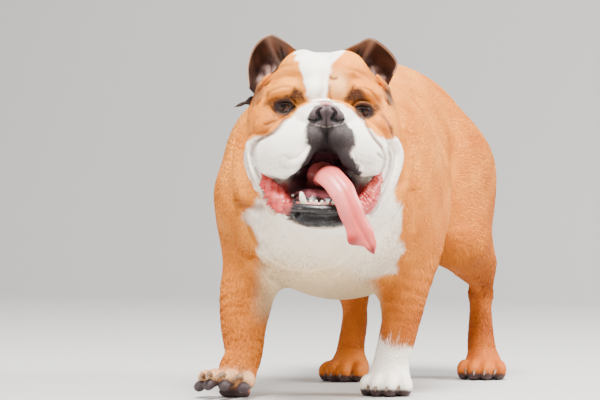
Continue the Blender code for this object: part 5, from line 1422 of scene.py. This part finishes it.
paint_points(gums, np.clip(gum_tint, 0.003, 0.9), 0.8)

# Claws: curved horn, amber at the root and darker at the tip. Each is a tapering tube that bends
# down, set in the end of a toe.

CLAW_AMBER, CLAW_HORN = np.array((0.30, 0.17, 0.085)), np.array((0.085, 0.050, 0.034))
CLAW_LENGTH, CLAW_RADIUS, CLAW_DROP = 0.0145, 0.0033, 0.0056
claw_finish = surface_material("claw_horn", 0.35, bump=0.2, scale=300.0)
claw_points, claw_faces, claw_tint = [], [], []
rows, sides = 14, 12
t = np.linspace(0, 1, rows)[:, None]
k = np.linspace(0, 2 * math.pi, sides, endpoint=False)[None, :]
upward = np.array((0, 0, 1.0))


def on_paw(name, p):
    """Points of a paw's own frame, turned, scaled and moved into the animal's."""
    pose = paw_pose(name)
    return p @ np.array(pose.to_3x3()).T + np.array(pose.translation)


for paw, (_, _, raised, _) in PAWS.items():
    for x, y, spread in TOES:
        lean = math.radians(-spread)
        out = np.array((-math.sin(lean), -math.cos(lean), 0.0))
        side_way = np.array((math.cos(lean), -math.sin(lean), 0.0))
        root = np.array((x, y, 0.0150 if raised else 0.0135)) + out * 0.012
        bow = 0.0016 * np.sin(math.pi * t) - CLAW_DROP * t**2
        spine = root + out * CLAW_LENGTH * t[..., None] + upward * bow[..., None]
        girth = CLAW_RADIUS * np.sqrt(np.clip(1 - t**1.7, 0.01, 1))
        body = spine + girth[..., None] * (0.78 * np.cos(k)[..., None] * side_way
                                           + np.sin(k)[..., None] * upward)
        claw_faces += tube_faces(rows, sides, len(claw_points) * rows * sides)
        claw_points.append(on_paw(paw, body.reshape(-1, 3)))
        tone = CLAW_AMBER + (CLAW_HORN - CLAW_AMBER) * t[..., None]
        claw_tint.append(np.repeat(tone, sides, axis=1).reshape(-1, 3))
claw_at = np.concatenate(claw_points)
claws = new_piece("claws", claw_at + shift, claw_faces, claw_finish)
paint_points(claws, np.concatenate(claw_tint), 0.2)

# Pads: dark grained leather cushions under the toes of the lifted foot, which face forward. On
# the other feet the pads are part of the skin.

PAD_RADII = np.array((0.0066, 0.0052, 0.0070))
PAD_GREY = np.array((0.040, 0.026, 0.026))
PAD_TILT = -38
pad_finish = surface_material("paw_pad_leather", 0.55, bump=1.0, scale=420.0)
pad_points, pad_faces = [], []
rows, sides = 16, 22
polar = np.linspace(0.02, math.pi - 0.02, rows)[:, None]
spin = np.linspace(0, 2 * math.pi, sides, endpoint=False)[None, :]
ball = np.stack([np.sin(polar) * np.cos(spin), np.sin(polar) * np.sin(spin),
                 np.cos(polar) * np.ones_like(spin)], axis=-1).reshape(-1, 3)
for paw, (_, _, raised, _) in PAWS.items():
    if not raised:
        continue
    for x, y, spread in TOES:
        tilt = np.array(Euler((math.radians(PAD_TILT), 0, math.radians(-spread))).to_matrix())
        egg = ball * PAD_RADII * (1 - 0.12 * ball[:, 2:3])
        at = egg @ tilt.T + np.array((x * 1.04, y - 0.0122, 0.0048))
        pad_faces += tube_faces(rows, sides, len(pad_points) * rows * sides, flip=True)
        pad_points.append(on_paw(paw, at))
pad_at = np.concatenate(pad_points)
pads = new_piece("toe_pads", pad_at + shift, pad_faces, pad_finish)
pad_tint = PAD_GREY * (1 + 0.35 * ripple(pad_at, 0.004, 61)[:, None])
paint_points(pads, np.clip(pad_tint, 0.003, 0.9), 0.1)

# The studio: a pale floor that bends up into a wall behind the model, three soft lamps, and the
# photograph's camera, which stands 19 degrees round towards the animal's left.

FLOOR_FRONT, SWEEP_START, SWEEP_RADIUS, WALL_TOP = -6.0, 2.6, 1.8, 6.0
FLOOR_HALF_WIDTH = 7
floor_mesh = bpy.data.meshes.new("floor")
bend = np.linspace(0, math.pi / 2, 24)
sweep = zip(SWEEP_START + SWEEP_RADIUS * np.sin(bend), SWEEP_RADIUS * (1 - np.cos(bend)))
profile = [(FLOOR_FRONT, 0.0), *sweep, (SWEEP_START + SWEEP_RADIUS, WALL_TOP)]
floor_mesh.from_pydata([(x, y, z) for y, z in profile for x in (-FLOOR_HALF_WIDTH, FLOOR_HALF_WIDTH)], [],
                       [(2 * k, 2 * k + 1, 2 * k + 3, 2 * k + 2) for k in range(len(profile) - 1)])
floor_mesh.polygons.foreach_set("use_smooth", [True] * len(floor_mesh.polygons))
floor = bpy.data.objects.new("floor", floor_mesh)
bpy.context.scene.collection.objects.link(floor)
floor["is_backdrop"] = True
pale = bpy.data.materials.new("pale_floor")
pale.use_nodes = True
pale.node_tree.nodes["Principled BSDF"].inputs["Base Color"].default_value = (0.50, 0.49, 0.47, 1)
floor_mesh.materials.append(pale)

for name, place, size, power in (
    ("key_light", (0.5, -1.3, 3.0), 1.3, 500),
    ("side_light", (2.6, 0.8, 1.7), 1.3, 230),
    ("fill_light", (-2.4, -2.2, 1.3), 2.4, 75),
):
    lamp = bpy.data.lights.new(name, "AREA")
    lamp.size = size
    lamp.energy = power
    light = bpy.data.objects.new(name, lamp)
    light.location = place
    aim = Vector((0, 0, 0.2)) - Vector(place)
    light.rotation_mode = "QUATERNION"
    light.rotation_quaternion = aim.to_track_quat("-Z", "Y")
    bpy.context.scene.collection.objects.link(light)
    light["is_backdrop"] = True

world = bpy.data.worlds.new("studio")
world.use_nodes = True
world.node_tree.nodes["Background"].inputs["Color"].default_value = (1.0, 1.0, 1.0, 1)
world.node_tree.nodes["Background"].inputs["Strength"].default_value = 0.62
bpy.context.scene.world = world

# in pixels: the picture's width, the lens's focal length and how far the horizon is above its middle
PICTURE_WIDTH, FOCAL_LENGTH, HORIZON = 600, 2667, 10
SENSOR_WIDTH = 36
CAMERA_TURN = 19
camera_data = bpy.data.cameras.new("camera")
camera_data.sensor_width = SENSOR_WIDTH
camera_data.lens = SENSOR_WIDTH * FOCAL_LENGTH / PICTURE_WIDTH
camera = bpy.data.objects.new("camera", camera_data)
camera.location = Vector((1.0226, -3.1243, 0.247)) + SHIFT
camera.rotation_euler = (math.radians(90) - math.atan(HORIZON / FOCAL_LENGTH), 0, math.radians(CAMERA_TURN))
camera_data.clip_end = 50
bpy.context.scene.collection.objects.link(camera)
bpy.context.scene.camera = camera

low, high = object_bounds()
